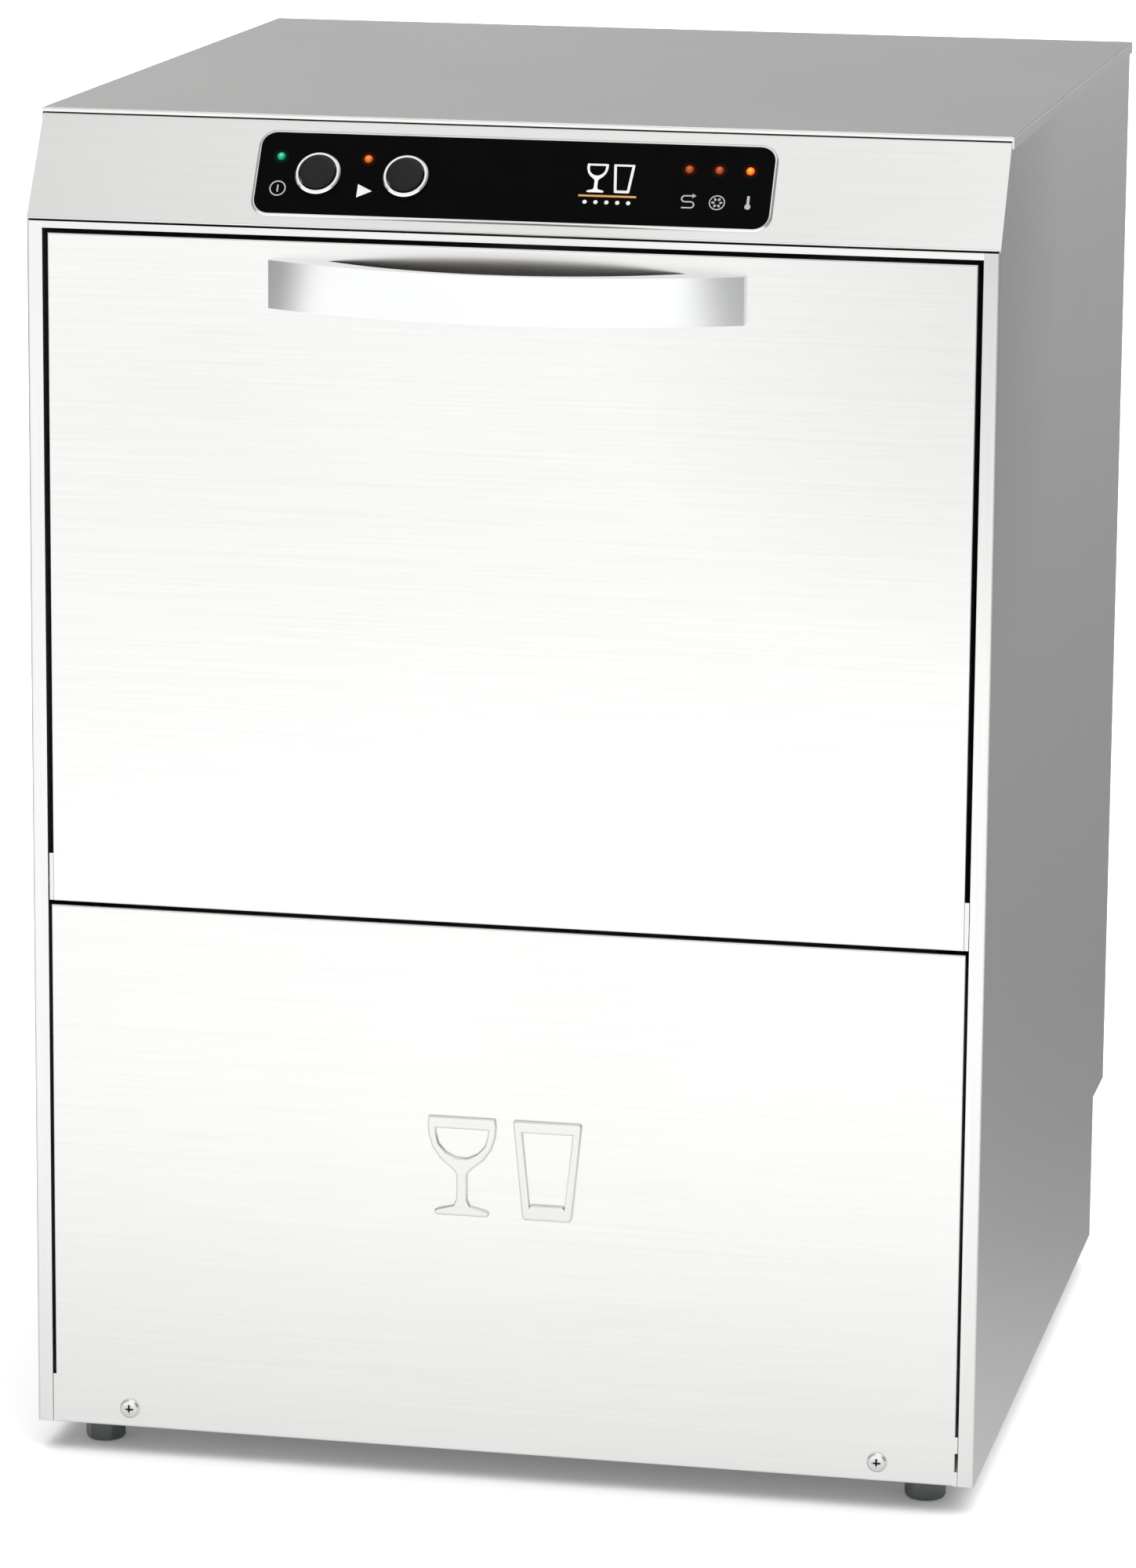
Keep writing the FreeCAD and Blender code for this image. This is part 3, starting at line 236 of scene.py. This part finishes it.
def steel(name, grain, roughness, shade, depth=3e-6, edge=0.0, painted_shade_share=1.0):
    """Brushed sheet with its grain along one axis, a few fine scratches and faint clouds, and
    optionally a patch of painted shade darkening its base colour.
    """
    look = Look(name, (shade, shade * 0.997, shade * 0.985), 1.0, roughness)
    if edge:
        look.soft_edges(edge)
    lines = look.noise(grained(FINE_LINES, grain), 2.0)
    look.tint(look.noise(grained(FAINT_CLOUDS, grain), 4.0, 0.65), 0.975, 1.02)
    # painted shade: a patch of darker base colour standing in for a dimmer reflection
    if painted_shade_share < 1.0:
        look.darken(*PAINTED_SHADE_PATCH, painted_shade_share)
    look.rough(look.noise(5.0, 4.0), roughness - 0.015, roughness + 0.03)
    look.bump(lines, depth)
    return look.material


def bar_steel(name):
    """Bright bar with a satin face, and painted shade on its side toward the door: a dark brown
    base colour there.
    """
    look = Look(name, (0.825, 0.83, 0.835), 1.0, 0.14)
    # painted shade: faces turned toward the door get a dark brown base colour
    away = look.axes(look.add("TexCoord").outputs["Normal"])["Y"]
    look.link(look.ramp(look.spread(away, 0.0, 1.0, -0.2, 0.6),
                        [(0.0, look.colour), (1.0, (0.1, 0.07, 0.04))]),
              look.shader.inputs["Base Color"])
    look.rough(look.noise(5.0), 0.12, 0.16)
    look.bump(look.noise(grained(FINE_LINES, "X"), 2.0), 3e-6)
    return look.material


def moulded(name, colour, roughness, grain=1800.0, depth=8e-6, **sockets):
    """Plastic or rubber with a fine pore and a little uneven colour."""
    look = Look(name, colour, 0.0, roughness, **sockets)
    look.tint(look.noise(45.0), 0.9, 1.1)
    pores = look.noise(grain, 2.0)
    look.rough(pores, roughness - 0.04, roughness + 0.06)
    look.bump(pores, depth)
    return look.material


LENS_RADIUS, SPILL_RADIUS = 2.6, 5.0  # mm, how far a lamp's own light and its spill reach


def lit_lens(name, core, body, edge, strength):
    """A small lamp lens, hottest at its centre."""
    look = Look(name, edge, 0.0, 0.12, **{"Specular IOR Level": 0.4})
    shades = look.ramp(look.from_centre(LENS_RADIUS * MM),
                       [(0.0, core), (0.35, body), (0.95, edge)])
    look.glow(shades, strength)
    look.bump(look.noise(900.0), 5e-6)
    return look.material


def halo(name, colour, strength):
    """Light spilt on the glossy panel round a lamp, fading to nothing."""
    look = Look(name, OVERLAY_INK, 0.0, 0.2, **BLACK_GLOSS)
    fade = [(0.0, colour), (0.45, tuple(c * 0.22 for c in colour)), (1.0, (0.0, 0.0, 0.0))]
    look.glow(look.ramp(look.from_centre(SPILL_RADIUS * MM), fade), strength)
    return look.material


def make_materials():
    """One finish for each of the record's material slots."""
    return {
        "stainless_sheet": steel("steel_sheet", "Z", 0.3, 0.72),
        "stainless_inner": steel("steel_inner", "X", 0.23, 0.6),
        "stainless_bar": steel("steel_bar", "X", 0.2, 0.66),
        "aluminium": steel("brushed_aluminium", "X", 0.3, 0.8, 1.2e-5),
        "overlay_black": moulded("overlay_film", OVERLAY_INK, 0.2, 900.0, 2e-6, **BLACK_GLOSS),
        "bezel_chrome": steel("bezel_satin", "X", 0.16, 0.72),
        "cap_black": moulded("button_cap", (0.009, 0.009, 0.01), 0.5, 2400.0, 1.5e-5,
                             **{"Specular IOR Level": 0.16}),
        "lamp_lens": moulded("lens_clear", (0.5, 0.1, 0.03), 0.15),
        "board_green": moulded("board_green", (0.02, 0.16, 0.06), 0.45),
        "seal_rubber": moulded("seal_rubber", (0.02, 0.02, 0.02), 0.6),
        "foot_plastic": moulded("foot_plastic", (0.085, 0.1, 0.098), 0.34, 1500.0, 1e-5),
        "pipe_plastic": moulded("pipe_plastic", (0.045, 0.045, 0.05), 0.4),
        "pump_plastic": moulded("pump_plastic", (0.05, 0.055, 0.06), 0.45),
        "magnet_iron": moulded("magnet_iron", (0.06, 0.06, 0.06), 0.5),
        "heater_sheath": steel("heater_sheath", "Y", 0.35, 0.4),
        "fitting_brass": Look("fitting_brass", (0.78, 0.6, 0.3), 1.0, 0.25).material,
    }


def paint_frame(materials):
    """Gives every CAD node its finish; sheets differ by the way their grain runs, and the right
    side and the door also by a patch of painted shade.
    """
    special = {
        "top_lid": steel("steel_lid", "X", 0.3, 0.74),
        "control_panel": steel("steel_fascia", "X", 0.3, 0.705),
        "front_header": steel("steel_header", "X", 0.23, 0.7),
        # the right side and the door carry a patch of painted shade at their upper right
        "right_side_panel": steel("steel_right_side", "Z", 0.3, 0.72, painted_shade_share=0.72),
        "door_outer_skin": steel("steel_door", "X", 0.2, 0.74, painted_shade_share=0.82),
        "lower_front_panel": steel("steel_lower", "X", 0.3, 0.74),
        "door_handle": bar_steel("steel_handle"),
    }
    for name, node in nodes.items():
        for slot in node.material_slots:
            slot_name = slot.material.name.split(".")[0]
            slot.material = special.get(name, materials[slot_name])


# ---------------------------------------------------------------- mesh tools

def add_piece(name, mesh, material, at, body, stands_for=(), sharp=30):
    """Puts a finished mesh in the row frame, riding on a body."""
    mesh.materials.clear()
    mesh.materials.append(material)
    mesh.shade_smooth()
    mesh.set_sharp_from_angle(angle=math.radians(sharp))
    piece = bpy.data.objects.new(name, mesh)
    scene.collection.objects.link(piece)
    piece.matrix_world = at
    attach(piece, body)
    if stands_for:
        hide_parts(*stands_for)
    return piece


def plate_mesh(name, loops, thick, edge):
    """A flat shape from closed outlines in mm, standing on Z = 0, with a rounded rim."""
    curve = bpy.data.curves.new(name, "CURVE")
    curve.dimensions = "2D"
    curve.fill_mode = "BOTH"
    for loop in loops:
        spline = curve.splines.new("POLY")
        spline.points.add(len(loop) - 1)
        for point, (x, y) in zip(spline.points, loop):
            point.co = (x * MM, y * MM, 0, 1)
        spline.use_cyclic_u = True
    curve.extrude = (thick / 2 - edge) * MM
    curve.bevel_depth = edge * MM
    curve.bevel_resolution = 3
    curve.offset = -edge * MM
    form = bpy.data.objects.new(name, curve)
    scene.collection.objects.link(form)
    mesh = bpy.data.meshes.new_from_object(form.evaluated_get(
        bpy.context.evaluated_depsgraph_get()))
    bpy.data.objects.remove(form)
    mesh.transform(Matrix.Translation((0, 0, thick / 2 * MM)))
    return mesh


def joined(name, meshes):
    """One mesh from several."""
    work = bmesh.new()
    for mesh in meshes:
        work.from_mesh(mesh)
    bmesh.ops.remove_doubles(work, verts=work.verts, dist=1e-7)
    result = bpy.data.meshes.new(name)
    work.to_mesh(result)
    work.free()
    return result


def swept(name, rings, closed=False, caps=True):
    """A skin over rings of points, each ring as long as the next."""
    work = bmesh.new()
    rows = [[work.verts.new(point) for point in ring] for ring in rings]
    count = len(rows[0])
    pairs = list(zip(rows, rows[1:])) + ([(rows[-1], rows[0])] if closed else [])
    for one, two in pairs:
        for i in range(count):
            j = (i + 1) % count
            work.faces.new((one[i], one[j], two[j], two[i]))
    if caps and not closed:
        work.faces.new(rows[0][::-1])
        work.faces.new(rows[-1])
    bmesh.ops.recalc_face_normals(work, faces=work.faces)
    mesh = bpy.data.meshes.new(name)
    work.to_mesh(mesh)
    work.free()
    return mesh


def lathe(name, profile, steps=48):
    """A solid turned about Z from (radius, height) pairs in mm, both ends on the axis."""
    work = bmesh.new()
    rows = []
    for radius, height in profile:
        if radius == 0:
            rows.append([work.verts.new((0, 0, height * MM))])
        else:
            rows.append([work.verts.new((radius * MM * math.cos(a), radius * MM * math.sin(a),
                                         height * MM))
                         for a in (2 * math.pi * i / steps for i in range(steps))])
    for one, two in zip(rows, rows[1:]):
        for i in range(steps):
            j = (i + 1) % steps
            corners = [one[i % len(one)], one[j % len(one)], two[j % len(two)],
                       two[i % len(two)]]
            corners = [v for k, v in enumerate(corners) if v not in corners[:k]]
            work.faces.new(corners)
    bmesh.ops.recalc_face_normals(work, faces=work.faces)
    mesh = bpy.data.meshes.new(name)
    work.to_mesh(mesh)
    work.free()
    return mesh


def arc(x, y, radius, start, end, steps=24):
    """Points on a circle between two angles in degrees."""
    return [(x + radius * math.cos(math.radians(start + (end - start) * i / steps)),
             y + radius * math.sin(math.radians(start + (end - start) * i / steps)))
            for i in range(steps + 1)]


def circle(x, y, radius, steps=40):
    """A closed ring of points."""
    return arc(x, y, radius, 0, 360 - 360 / steps, steps - 1)


def box_loop(x, y, wide, tall):
    """A rectangle about its middle."""
    return [(x - wide / 2, y - tall / 2), (x + wide / 2, y - tall / 2),
            (x + wide / 2, y + tall / 2), (x - wide / 2, y + tall / 2)]


def ribbon(path, width):
    """The closed outline of a stroke of one width along an open path."""
    left, right = [], []
    for i, (x, y) in enumerate(path):
        before = path[max(i - 1, 0)]
        after = path[min(i + 1, len(path) - 1)]
        run = Vector((after[0] - before[0], after[1] - before[1])).normalized()
        side = Vector((-run.y, run.x)) * width / 2
        left.append((x + side.x, y + side.y))
        right.append((x - side.x, y - side.y))
    return left + right[::-1]


def mirrored(profile):
    """A closed outline from its right half, given upward as (half width, height)."""
    return profile + [(-x, y) for x, y in reversed(profile)]


def rounded_box(low, high, radius, steps=10):
    """A rectangle between two corners, with its own corners rounded."""
    (x0, y0), (x1, y1) = low, high
    return (arc(x1 - radius, y0 + radius, radius, -90, 0, steps)
            + arc(x1 - radius, y1 - radius, radius, 0, 90, steps)
            + arc(x0 + radius, y1 - radius, radius, 90, 180, steps)
            + arc(x0 + radius, y0 + radius, radius, 180, 270, steps))


# ---------------------------------------------------------------- places on the object

FASCIA_RUN, FASCIA_RISE = 38.0, 58.3  # the fascia's setback and height in mm
front_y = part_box("lower_front_panel")[0].y
slope = Vector((0, FASCIA_RUN, FASCIA_RISE)).normalized()
outward = Vector((0, -slope.z, slope.y))
FASCIA = (Matrix.Translation((0, front_y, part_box("control_panel")[0].z))
          @ Matrix((Vector((1, 0, 0)), slope, outward)).transposed().to_4x4())
FILM = 1.0  # mm, the overlay's outer face above the fascia

FRONT = (Matrix.Translation((0, front_y, 0))
         @ Matrix(((1, 0, 0), (0, 0, -1), (0, 1, 0))).to_4x4())


def on_fascia(x, up, out=FILM):
    """A place on the sloping fascia, with Z along its normal, from mm."""
    return FASCIA @ Matrix.Translation((x * MM, up * MM, out * MM))


def on_front(x, z, out=0.0):
    """A place on the upright front, with Z toward the user, from mm."""
    return FRONT @ Matrix.Translation((x * MM, z * MM, out * MM))


# ---------------------------------------------------------------- control panel

OVERLAY_LOW, OVERLAY_HIGH, OVERLAY_CORNER = (-152.0, 8.8), (152.0, 61.0), 9.0


def make_overlay_rim(material):
    """The pressed lip of steel that frames the black overlay."""
    outline = rounded_box(OVERLAY_LOW, OVERLAY_HIGH, OVERLAY_CORNER)
    section = [(0.05, 0.2), (0.05, 1.15), (0.3, 1.4), (0.65, 1.42), (1.1, 1.1), (1.6, 0.45),
               (2.0, 0.02), (2.0, -0.15), (0.05, -0.15)]
    rings = []
    for i, (x, y) in enumerate(outline):
        x0, y0 = outline[i - 1]
        x1, y1 = outline[(i + 1) % len(outline)]
        run = Vector((x1 - x0, y1 - y0)).normalized()
        side = Vector((run.y, -run.x))
        rings.append([((x + side.x * off) * MM, (y + side.y * off) * MM, up * MM)
                      for off, up in section])
    mesh = swept("overlay_rim", rings, closed=True)
    add_piece("overlay_rim", mesh, material, FASCIA, "chassis", sharp=50)


def glass_outlines(scale, x, y, wall):
    """A stemmed glass and a tumbler, each an outline with its bowl cut out."""
    stem_glass = mirrored([(15, -30.5), (16.5, -29.5), (16.5, -27.5), (14, -26.2), (5, -24),
                           (3.3, -20), (3.3, -5), (6, -1.5), (13, 4), (18, 11), (20.5, 19),
                           (21, 26), (20.3, 30.5)])
    bowl = mirrored([(3.5, 5.5), (9.5, 8.5), (14, 13.5), (15.7, 20), (15.9, 30.5 - wall)])
    tumbler = mirrored([(13.5, -30.5), (15, -29), (15.4, -26), (20.8, 29), (20, 30.5)])
    inside = mirrored([(9.8, -30.5 + wall * 1.3), (10.6, -22), (15.2, 30.5 - wall)])
    loops = [[(px - 25, py) for px, py in loop] for loop in (stem_glass, bowl)]
    loops += [[(px + 27, py) for px, py in loop] for loop in (tumbler, inside)]
    return [[(x + px * scale, y + py * scale) for px, py in loop] for loop in loops]


# middles of the prints, across and up the fascia in mm
SIGNS = {"power": (-139.0, 24.8), "play": (-87.1, 24.5), "flow": (104.0, 24.8),
         "rinse": (121.0, 24.8), "heat": (139.0, 25.4)}
PICTURE_X, GLASSES_UP, LINE_UP, DOTS_UP = 56.5, 38.0, 26.6, 22.6
DOT_PITCH = 6.4
PRINT = {"thick": 0.12, "edge": 0.02}


def symbol_outlines():
    """Plain signs under the lamps and buttons, in mm on the fascia."""
    x, y = SIGNS["power"]
    power = [circle(x, y, 4.9), circle(x, y, 4.15), box_loop(x, y, 0.85, 4.6)]
    x, y = SIGNS["play"]
    play = [[(x - 4.3, y - 4.0), (x + 4.5, y + 0.3), (x - 4.3, y + 4.6)]]
    x, y = SIGNS["flow"]
    bend = (arc(x + 1.7, y - 1.9, 1.9, -90, 90, 12) + arc(x - 1.9, y + 1.9, 1.9, 270, 90, 12))
    flow = [ribbon([(x - 3.6, y - 3.8)] + bend + [(x + 2.2, y + 3.8)], 0.85),
            [(x + 2.3, y + 2.3), (x + 4.6, y + 3.8), (x + 2.3, y + 5.3)]]
    x, y = SIGNS["rinse"]
    rinse = [circle(x, y, 4.7), circle(x, y, 4.05)]
    for turn in range(6):
        a = math.radians(60 * turn)
        near, half, far = 1.15, 2.3, 3.5
        tip = Vector((math.cos(a), math.sin(a)))
        wide = Vector((-tip.y, tip.x)) * 0.85
        rinse.append([(x + tip.x * near, y + tip.y * near),
                      (x + tip.x * half + wide.x, y + tip.y * half + wide.y),
                      (x + tip.x * far, y + tip.y * far),
                      (x + tip.x * half - wide.x, y + tip.y * half - wide.y)])
    x, y = SIGNS["heat"]
    heat = [arc(x, y - 2.6, 1.75, 116, 424, 24) + arc(x, y + 3.6, 0.78, 0, 180, 8)]
    return power + flow + rinse + heat, play


def make_prints(white, grey, orange):
    """Everything printed on the overlay: the signs, and the glasses over their line and dots."""
    signs, play = symbol_outlines()
    glasses = glass_outlines(0.3, PICTURE_X, GLASSES_UP, wall=4.2)
    line = [box_loop(PICTURE_X, LINE_UP, 34.0, 1.2)]
    dots = [circle(PICTURE_X + DOT_PITCH * i, DOTS_UP, 1.25, 20) for i in range(-2, 3)]
    for name, loops, ink in (("panel_signs", signs, grey), ("panel_play", play, white),
                             ("panel_glasses", glasses, white), ("panel_line", line, orange),
                             ("panel_dots", dots, white)):
        add_piece(name, plate_mesh(name, loops, **PRINT), ink, on_fascia(0, 0), "chassis")


# the lamps' places across the fascia, and their shared height on it, in mm
LAMPS = {"power": -139.4, "start": -87.2, "rinse": 102.7, "cool": 120.3, "heat": 138.4}
LAMP_UP = 45.4


def make_lamps():
    """Domed lenses, each in a ring of light that it spills on the overlay."""
    green = lit_lens("lens_green", (0.25, 1.0, 0.7), (0.01, 0.5, 0.27), (0.0, 0.09, 0.05), 0.9)
    amber = lit_lens("lens_amber", (1.0, 0.42, 0.12), (0.95, 0.2, 0.008), (0.25, 0.035, 0.0), 0.9)
    dim = lit_lens("lens_dim", (0.8, 0.2, 0.04), (0.42, 0.07, 0.005), (0.12, 0.015, 0.0), 0.9)
    hot = lit_lens("lens_hot", (1.0, 0.7, 0.2), (1.0, 0.3, 0.01), (0.35, 0.05, 0.0), 1.1)
    green_spill = halo("spill_green", (0.0, 0.10, 0.055), 1.0)
    amber_spill = halo("spill_amber", (0.16, 0.018, 0.0), 1.0)
    finish = {"power": (green, green_spill), "start": (amber, amber_spill),
              "rinse": (dim, amber_spill), "cool": (dim, amber_spill),
              "heat": (hot, amber_spill)}
    dome = [(0, -6.0), (1.9, -6.0), (1.9, 1.02), (2.55, 1.06), (2.5, 1.4), (2.2, 1.9),
            (1.6, 2.35), (0.85, 2.62), (0, 2.7)]
    for name, x in LAMPS.items():
        lens, spill = finish[name]
        add_piece(f"lamp_{name}", lathe(f"lamp_{name}", dome), lens, on_fascia(x, LAMP_UP, 0),
                  "chassis", ("indicator_lenses",))
        ring = [circle(0, 0, SPILL_RADIUS, 48), circle(0, 0, 2.3, 48)]
        glow = plate_mesh(f"spill_{name}", ring, thick=0.05, edge=0.01)
        add_piece(f"spill_{name}", glow, spill, on_fascia(x, LAMP_UP), "chassis")


# ---------------------------------------------------------------- front

EMBLEM_AT = (1.5, 195.5)  # middle, across and above the floor, in mm
EMBLEM_SUNK = 0.9  # mm of its thickness behind the panel's face


def make_screw_recess_shade(material):
    """Painted shade: black crosses at the bottoms of the cross recesses in the front panel's two
    screws.
    """
    low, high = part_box("front_panel_screws")
    radius = (high.z - low.z) / 2
    arm, wide = 0.36 * radius / MM, 0.1 * radius / MM
    cross = [(arm, -wide), (arm, wide), (wide, wide), (wide, arm), (-wide, arm), (-wide, wide),
             (-arm, wide), (-arm, -wide), (-wide, -wide), (-wide, -arm), (wide, -arm),
             (wide, -wide)]
    height = (low.z + high.z) / 2 / MM
    loops = [[(x + side * (high.x - radius) / MM, y + height) for x, y in cross]
             for side in (-1, 1)]
    mesh = plate_mesh("screw_recess_shade", loops, thick=0.3, edge=0.03)
    add_piece("screw_recess_shade", mesh, material, on_front(0, 0, 1.2), "chassis")


def make_emblem(material):
    """The two glasses pressed out of the lower panel."""
    mesh = plate_mesh("front_emblem", glass_outlines(1.0, *EMBLEM_AT, wall=7.5), thick=2.9,
                      edge=1.4)
    add_piece("front_emblem", mesh, material, on_front(0, 0, -EMBLEM_SUNK), "chassis")


# ---------------------------------------------------------------- hinges

SPRING = {"turns": 7.5, "wire": 0.95, "mean": 8.55, "long": 16.0}  # radii and length in mm


def make_springs(material):
    """A coil spring round each hinge pin, in place of the plain sleeves."""
    low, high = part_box("door_springs")
    middle_y, middle_z = (low.y + high.y) / 2, (low.z + high.z) / 2
    coils = []
    wire, mean, long = (SPRING[size] * MM for size in ("wire", "mean", "long"))
    steps = int(SPRING["turns"] * 24)
    for side in (-1, 1):
        outer, inner = side * high.x, side * (high.x - long)
        start, end = inner + side * wire, outer - side * wire
        rings = []
        for i in range(steps + 1):
            share = i / steps
            a = 2 * math.pi * SPRING["turns"] * share
            spoke = Vector((0, math.cos(a), math.sin(a)))
            centre = Vector((start + (end - start) * share, middle_y, middle_z)) + spoke * mean
            rings.append([centre + spoke * wire * math.cos(b)
                          + Vector((wire * math.sin(b), 0, 0))
                          for b in (2 * math.pi * k / 10 for k in range(10))])
        coils.append(swept("coil", rings))
    add_piece("hinge_coils", joined("hinge_coils", coils), material, Matrix(), "door",
              ("door_springs",), sharp=60)


# ---------------------------------------------------------------- stage

OVERHEAD, IN_FRONT = 1.38, 1.42  # brightness of the lit parts of the studio
GREY_LEFT, GREY_RIGHT = 0.545, 0.405  # and of the rest, all round
# shares of the bright front by the place to the side, where the front face mirrors -1 to 1
SECTOR = [(-11.1, 0.0), (-9.9, 0.2), (-8.4, 0.95), (-1.2, 0.93), (-0.3, 1.0), (2.3, 1.0),
          (3.2, 0.97), (7.0, 0.98), (7.6, 0.15), (12.0, 0.0)]
# brightness of the floor in reflections, by the distance ahead of the front and by the depth
FLOOR_AHEAD = [(0.07, 1.05), (0.4, 1.17), (0.65, 1.4), (1.3, 1.49), (1.9, 1.44), (2.3, 1.36),
               (2.8, 1.29), (3.6, 1.19)]
FLOOR_BESIDE = [(-1.6, 0.36), (-0.6, 0.46), (-0.3, 0.68), (0.0, 0.56), (0.3, 0.41), (0.6, 0.35),
                (1.0, 0.325), (2.0, 0.345), (3.0, 0.36), (4.5, 0.4)]


def make_world():
    """Grey all round, a little darker to the right, and bright overhead."""
    world = bpy.data.worlds.new("studio")
    scene.world = world
    world.use_nodes = True
    sky = Nodes(world.node_tree)
    way = sky.axes(sky.add("TexCoord").outputs["Generated"])
    around = sky.spread(way["X"], GREY_LEFT, GREY_RIGHT, -0.32, -0.08)
    above = sky.graph(way["X"], [(-0.42, OVERHEAD * 0.5), (-0.22, OVERHEAD * 0.95),
                                 (-0.12, OVERHEAD)])
    over = sky.spread(way["Z"], 0.0, 1.0, 0.55, 0.8)
    backdrop = sky.tree.nodes["Background"]
    backdrop.inputs["Color"].default_value = (1, 1, 1, 1)
    sky.link(sky.spread(over, around, above, 0.0, 1.0), backdrop.inputs["Strength"])


def flat_sheet(name, corners, faces=((0, 1, 2, 3),)):
    """A part of the stage, from its corners."""
    mesh = bpy.data.meshes.new(name)
    mesh.from_pydata(corners, [], faces)
    sheet = bpy.data.objects.new(name, mesh)
    scene.collection.objects.link(sheet)
    return sheet


def square(reach, height):
    """Corners of a level square about the middle of the floor."""
    return [(-reach, -reach, height), (reach, -reach, height), (reach, reach, height),
            (-reach, reach, height)]


def make_floor():
    """The plain pale floor that the camera sees."""
    look = Look("floor_white", (0.92, 0.92, 0.92), 0.0, 0.9)
    look.tint(look.noise(2.0), 0.995, 1.0)
    look.fill(look.shader, {"Emission Color": (1, 1, 1, 1), "Emission Strength": 0.09})
    flat_sheet("floor", square(30, 0)).data.materials.append(look.material)


def make_board(sheet, ahead, beside):
    """Makes a sheet shine for reflections only, bright in front and grey beside."""
    sheet.visible_camera = sheet.visible_diffuse = sheet.visible_shadow = False
    sheet.visible_transmission = False
    material = bpy.data.materials.new(sheet.name)
    material.use_nodes = True
    shine = Nodes(material.node_tree)
    shine.tree.nodes.remove(shine.tree.nodes["Principled BSDF"])
    at = shine.axes(shine.add("TexCoord").outputs["Object"])
    depth = shine.math("MULTIPLY_ADD", at["Y"], -1.0, front_y)
    reach = shine.math("MAXIMUM", depth, 0.0)
    # the strip that the front face mirrors drifts aside and widens with the distance ahead
    aside = shine.math("DIVIDE", shine.math("MULTIPLY_ADD", reach, 0.2, at["X"]),
                       shine.math("MULTIPLY_ADD", reach, 0.07, 0.28))
    share = shine.math("MULTIPLY", shine.graph(aside, SECTOR),
                       shine.spread(depth, 0.0, 1.0, -0.03, 0.05))
    level = shine.spread(share, shine.graph(at["Y"], beside), shine.graph(depth, ahead),
                         0.0, 1.0)
    emit = shine.add("Emission")
    shine.link(level, emit.inputs["Strength"])
    shine.link(emit.outputs[0], shine.tree.nodes["Material Output"].inputs["Surface"])
    sheet.data.materials.append(material)


def make_boards():
    """A reflecting floor with a hole under the machine, and a board far in front."""
    (x0, y0), (x1, y1) = (-0.286, front_y + 2 * MM), (0.286, 0.3)
    footprint = [(x0, y0, MM), (x1, y0, MM), (x1, y1, MM), (x0, y1, MM)]
    around = [(i, (i + 1) % 4, (i + 1) % 4 + 4, i + 4) for i in range(4)]
    reach, away, tall = 12, 6, 3.0
    level = flat_sheet("floor_board", square(reach, MM) + footprint, around)
    make_board(level, FLOOR_AHEAD, FLOOR_BESIDE)
    front = flat_sheet("front_board", [(-reach, -away, 0), (reach, -away, 0),
                                       (reach, -away, tall), (-reach, -away, tall)])
    make_board(front, [(away - 1, IN_FRONT), (away + 1, IN_FRONT)],
               [(-away - 1, 0.5), (-away + 1, 0.5)])


def make_lights():
    """Soft light from nearly straight above, so that the shadow stays close to the feet."""
    data = bpy.data.lights.new("sky_panel", "SUN")
    data.energy = 2.5
    data.angle = math.radians(95)
    lamp = bpy.data.objects.new("sky_panel", data)
    lamp.rotation_euler = Vector((-0.24, -0.14, -1)).to_track_quat("-Z", "Y").to_euler()
    lamp.visible_glossy = False
    scene.collection.objects.link(lamp)


# ---------------------------------------------------------------- build

scene.view_settings.view_transform = "Standard"
make_camera()
materials = make_materials()
paint_frame(materials)
white_ink = moulded("ink_white", (0.72, 0.72, 0.72), 0.45)
grey_ink = moulded("ink_grey", (0.4, 0.4, 0.4), 0.45)
orange_ink = moulded("ink_orange", (0.62, 0.3, 0.07), 0.4)
make_overlay_rim(steel("steel_rim", "X", 0.2, 0.68))
make_prints(white_ink, grey_ink, orange_ink)
make_lamps()
# the emblem's steel is a little darker than the panel's: painted shade on the emblem's face
make_emblem(steel("steel_emblem", "X", 0.3, 0.69))
# black crosses as painted shade in the screw recesses
make_screw_recess_shade(materials["cap_black"])
make_springs(materials["stainless_bar"])
make_world()
make_floor()
make_boards()
make_lights()
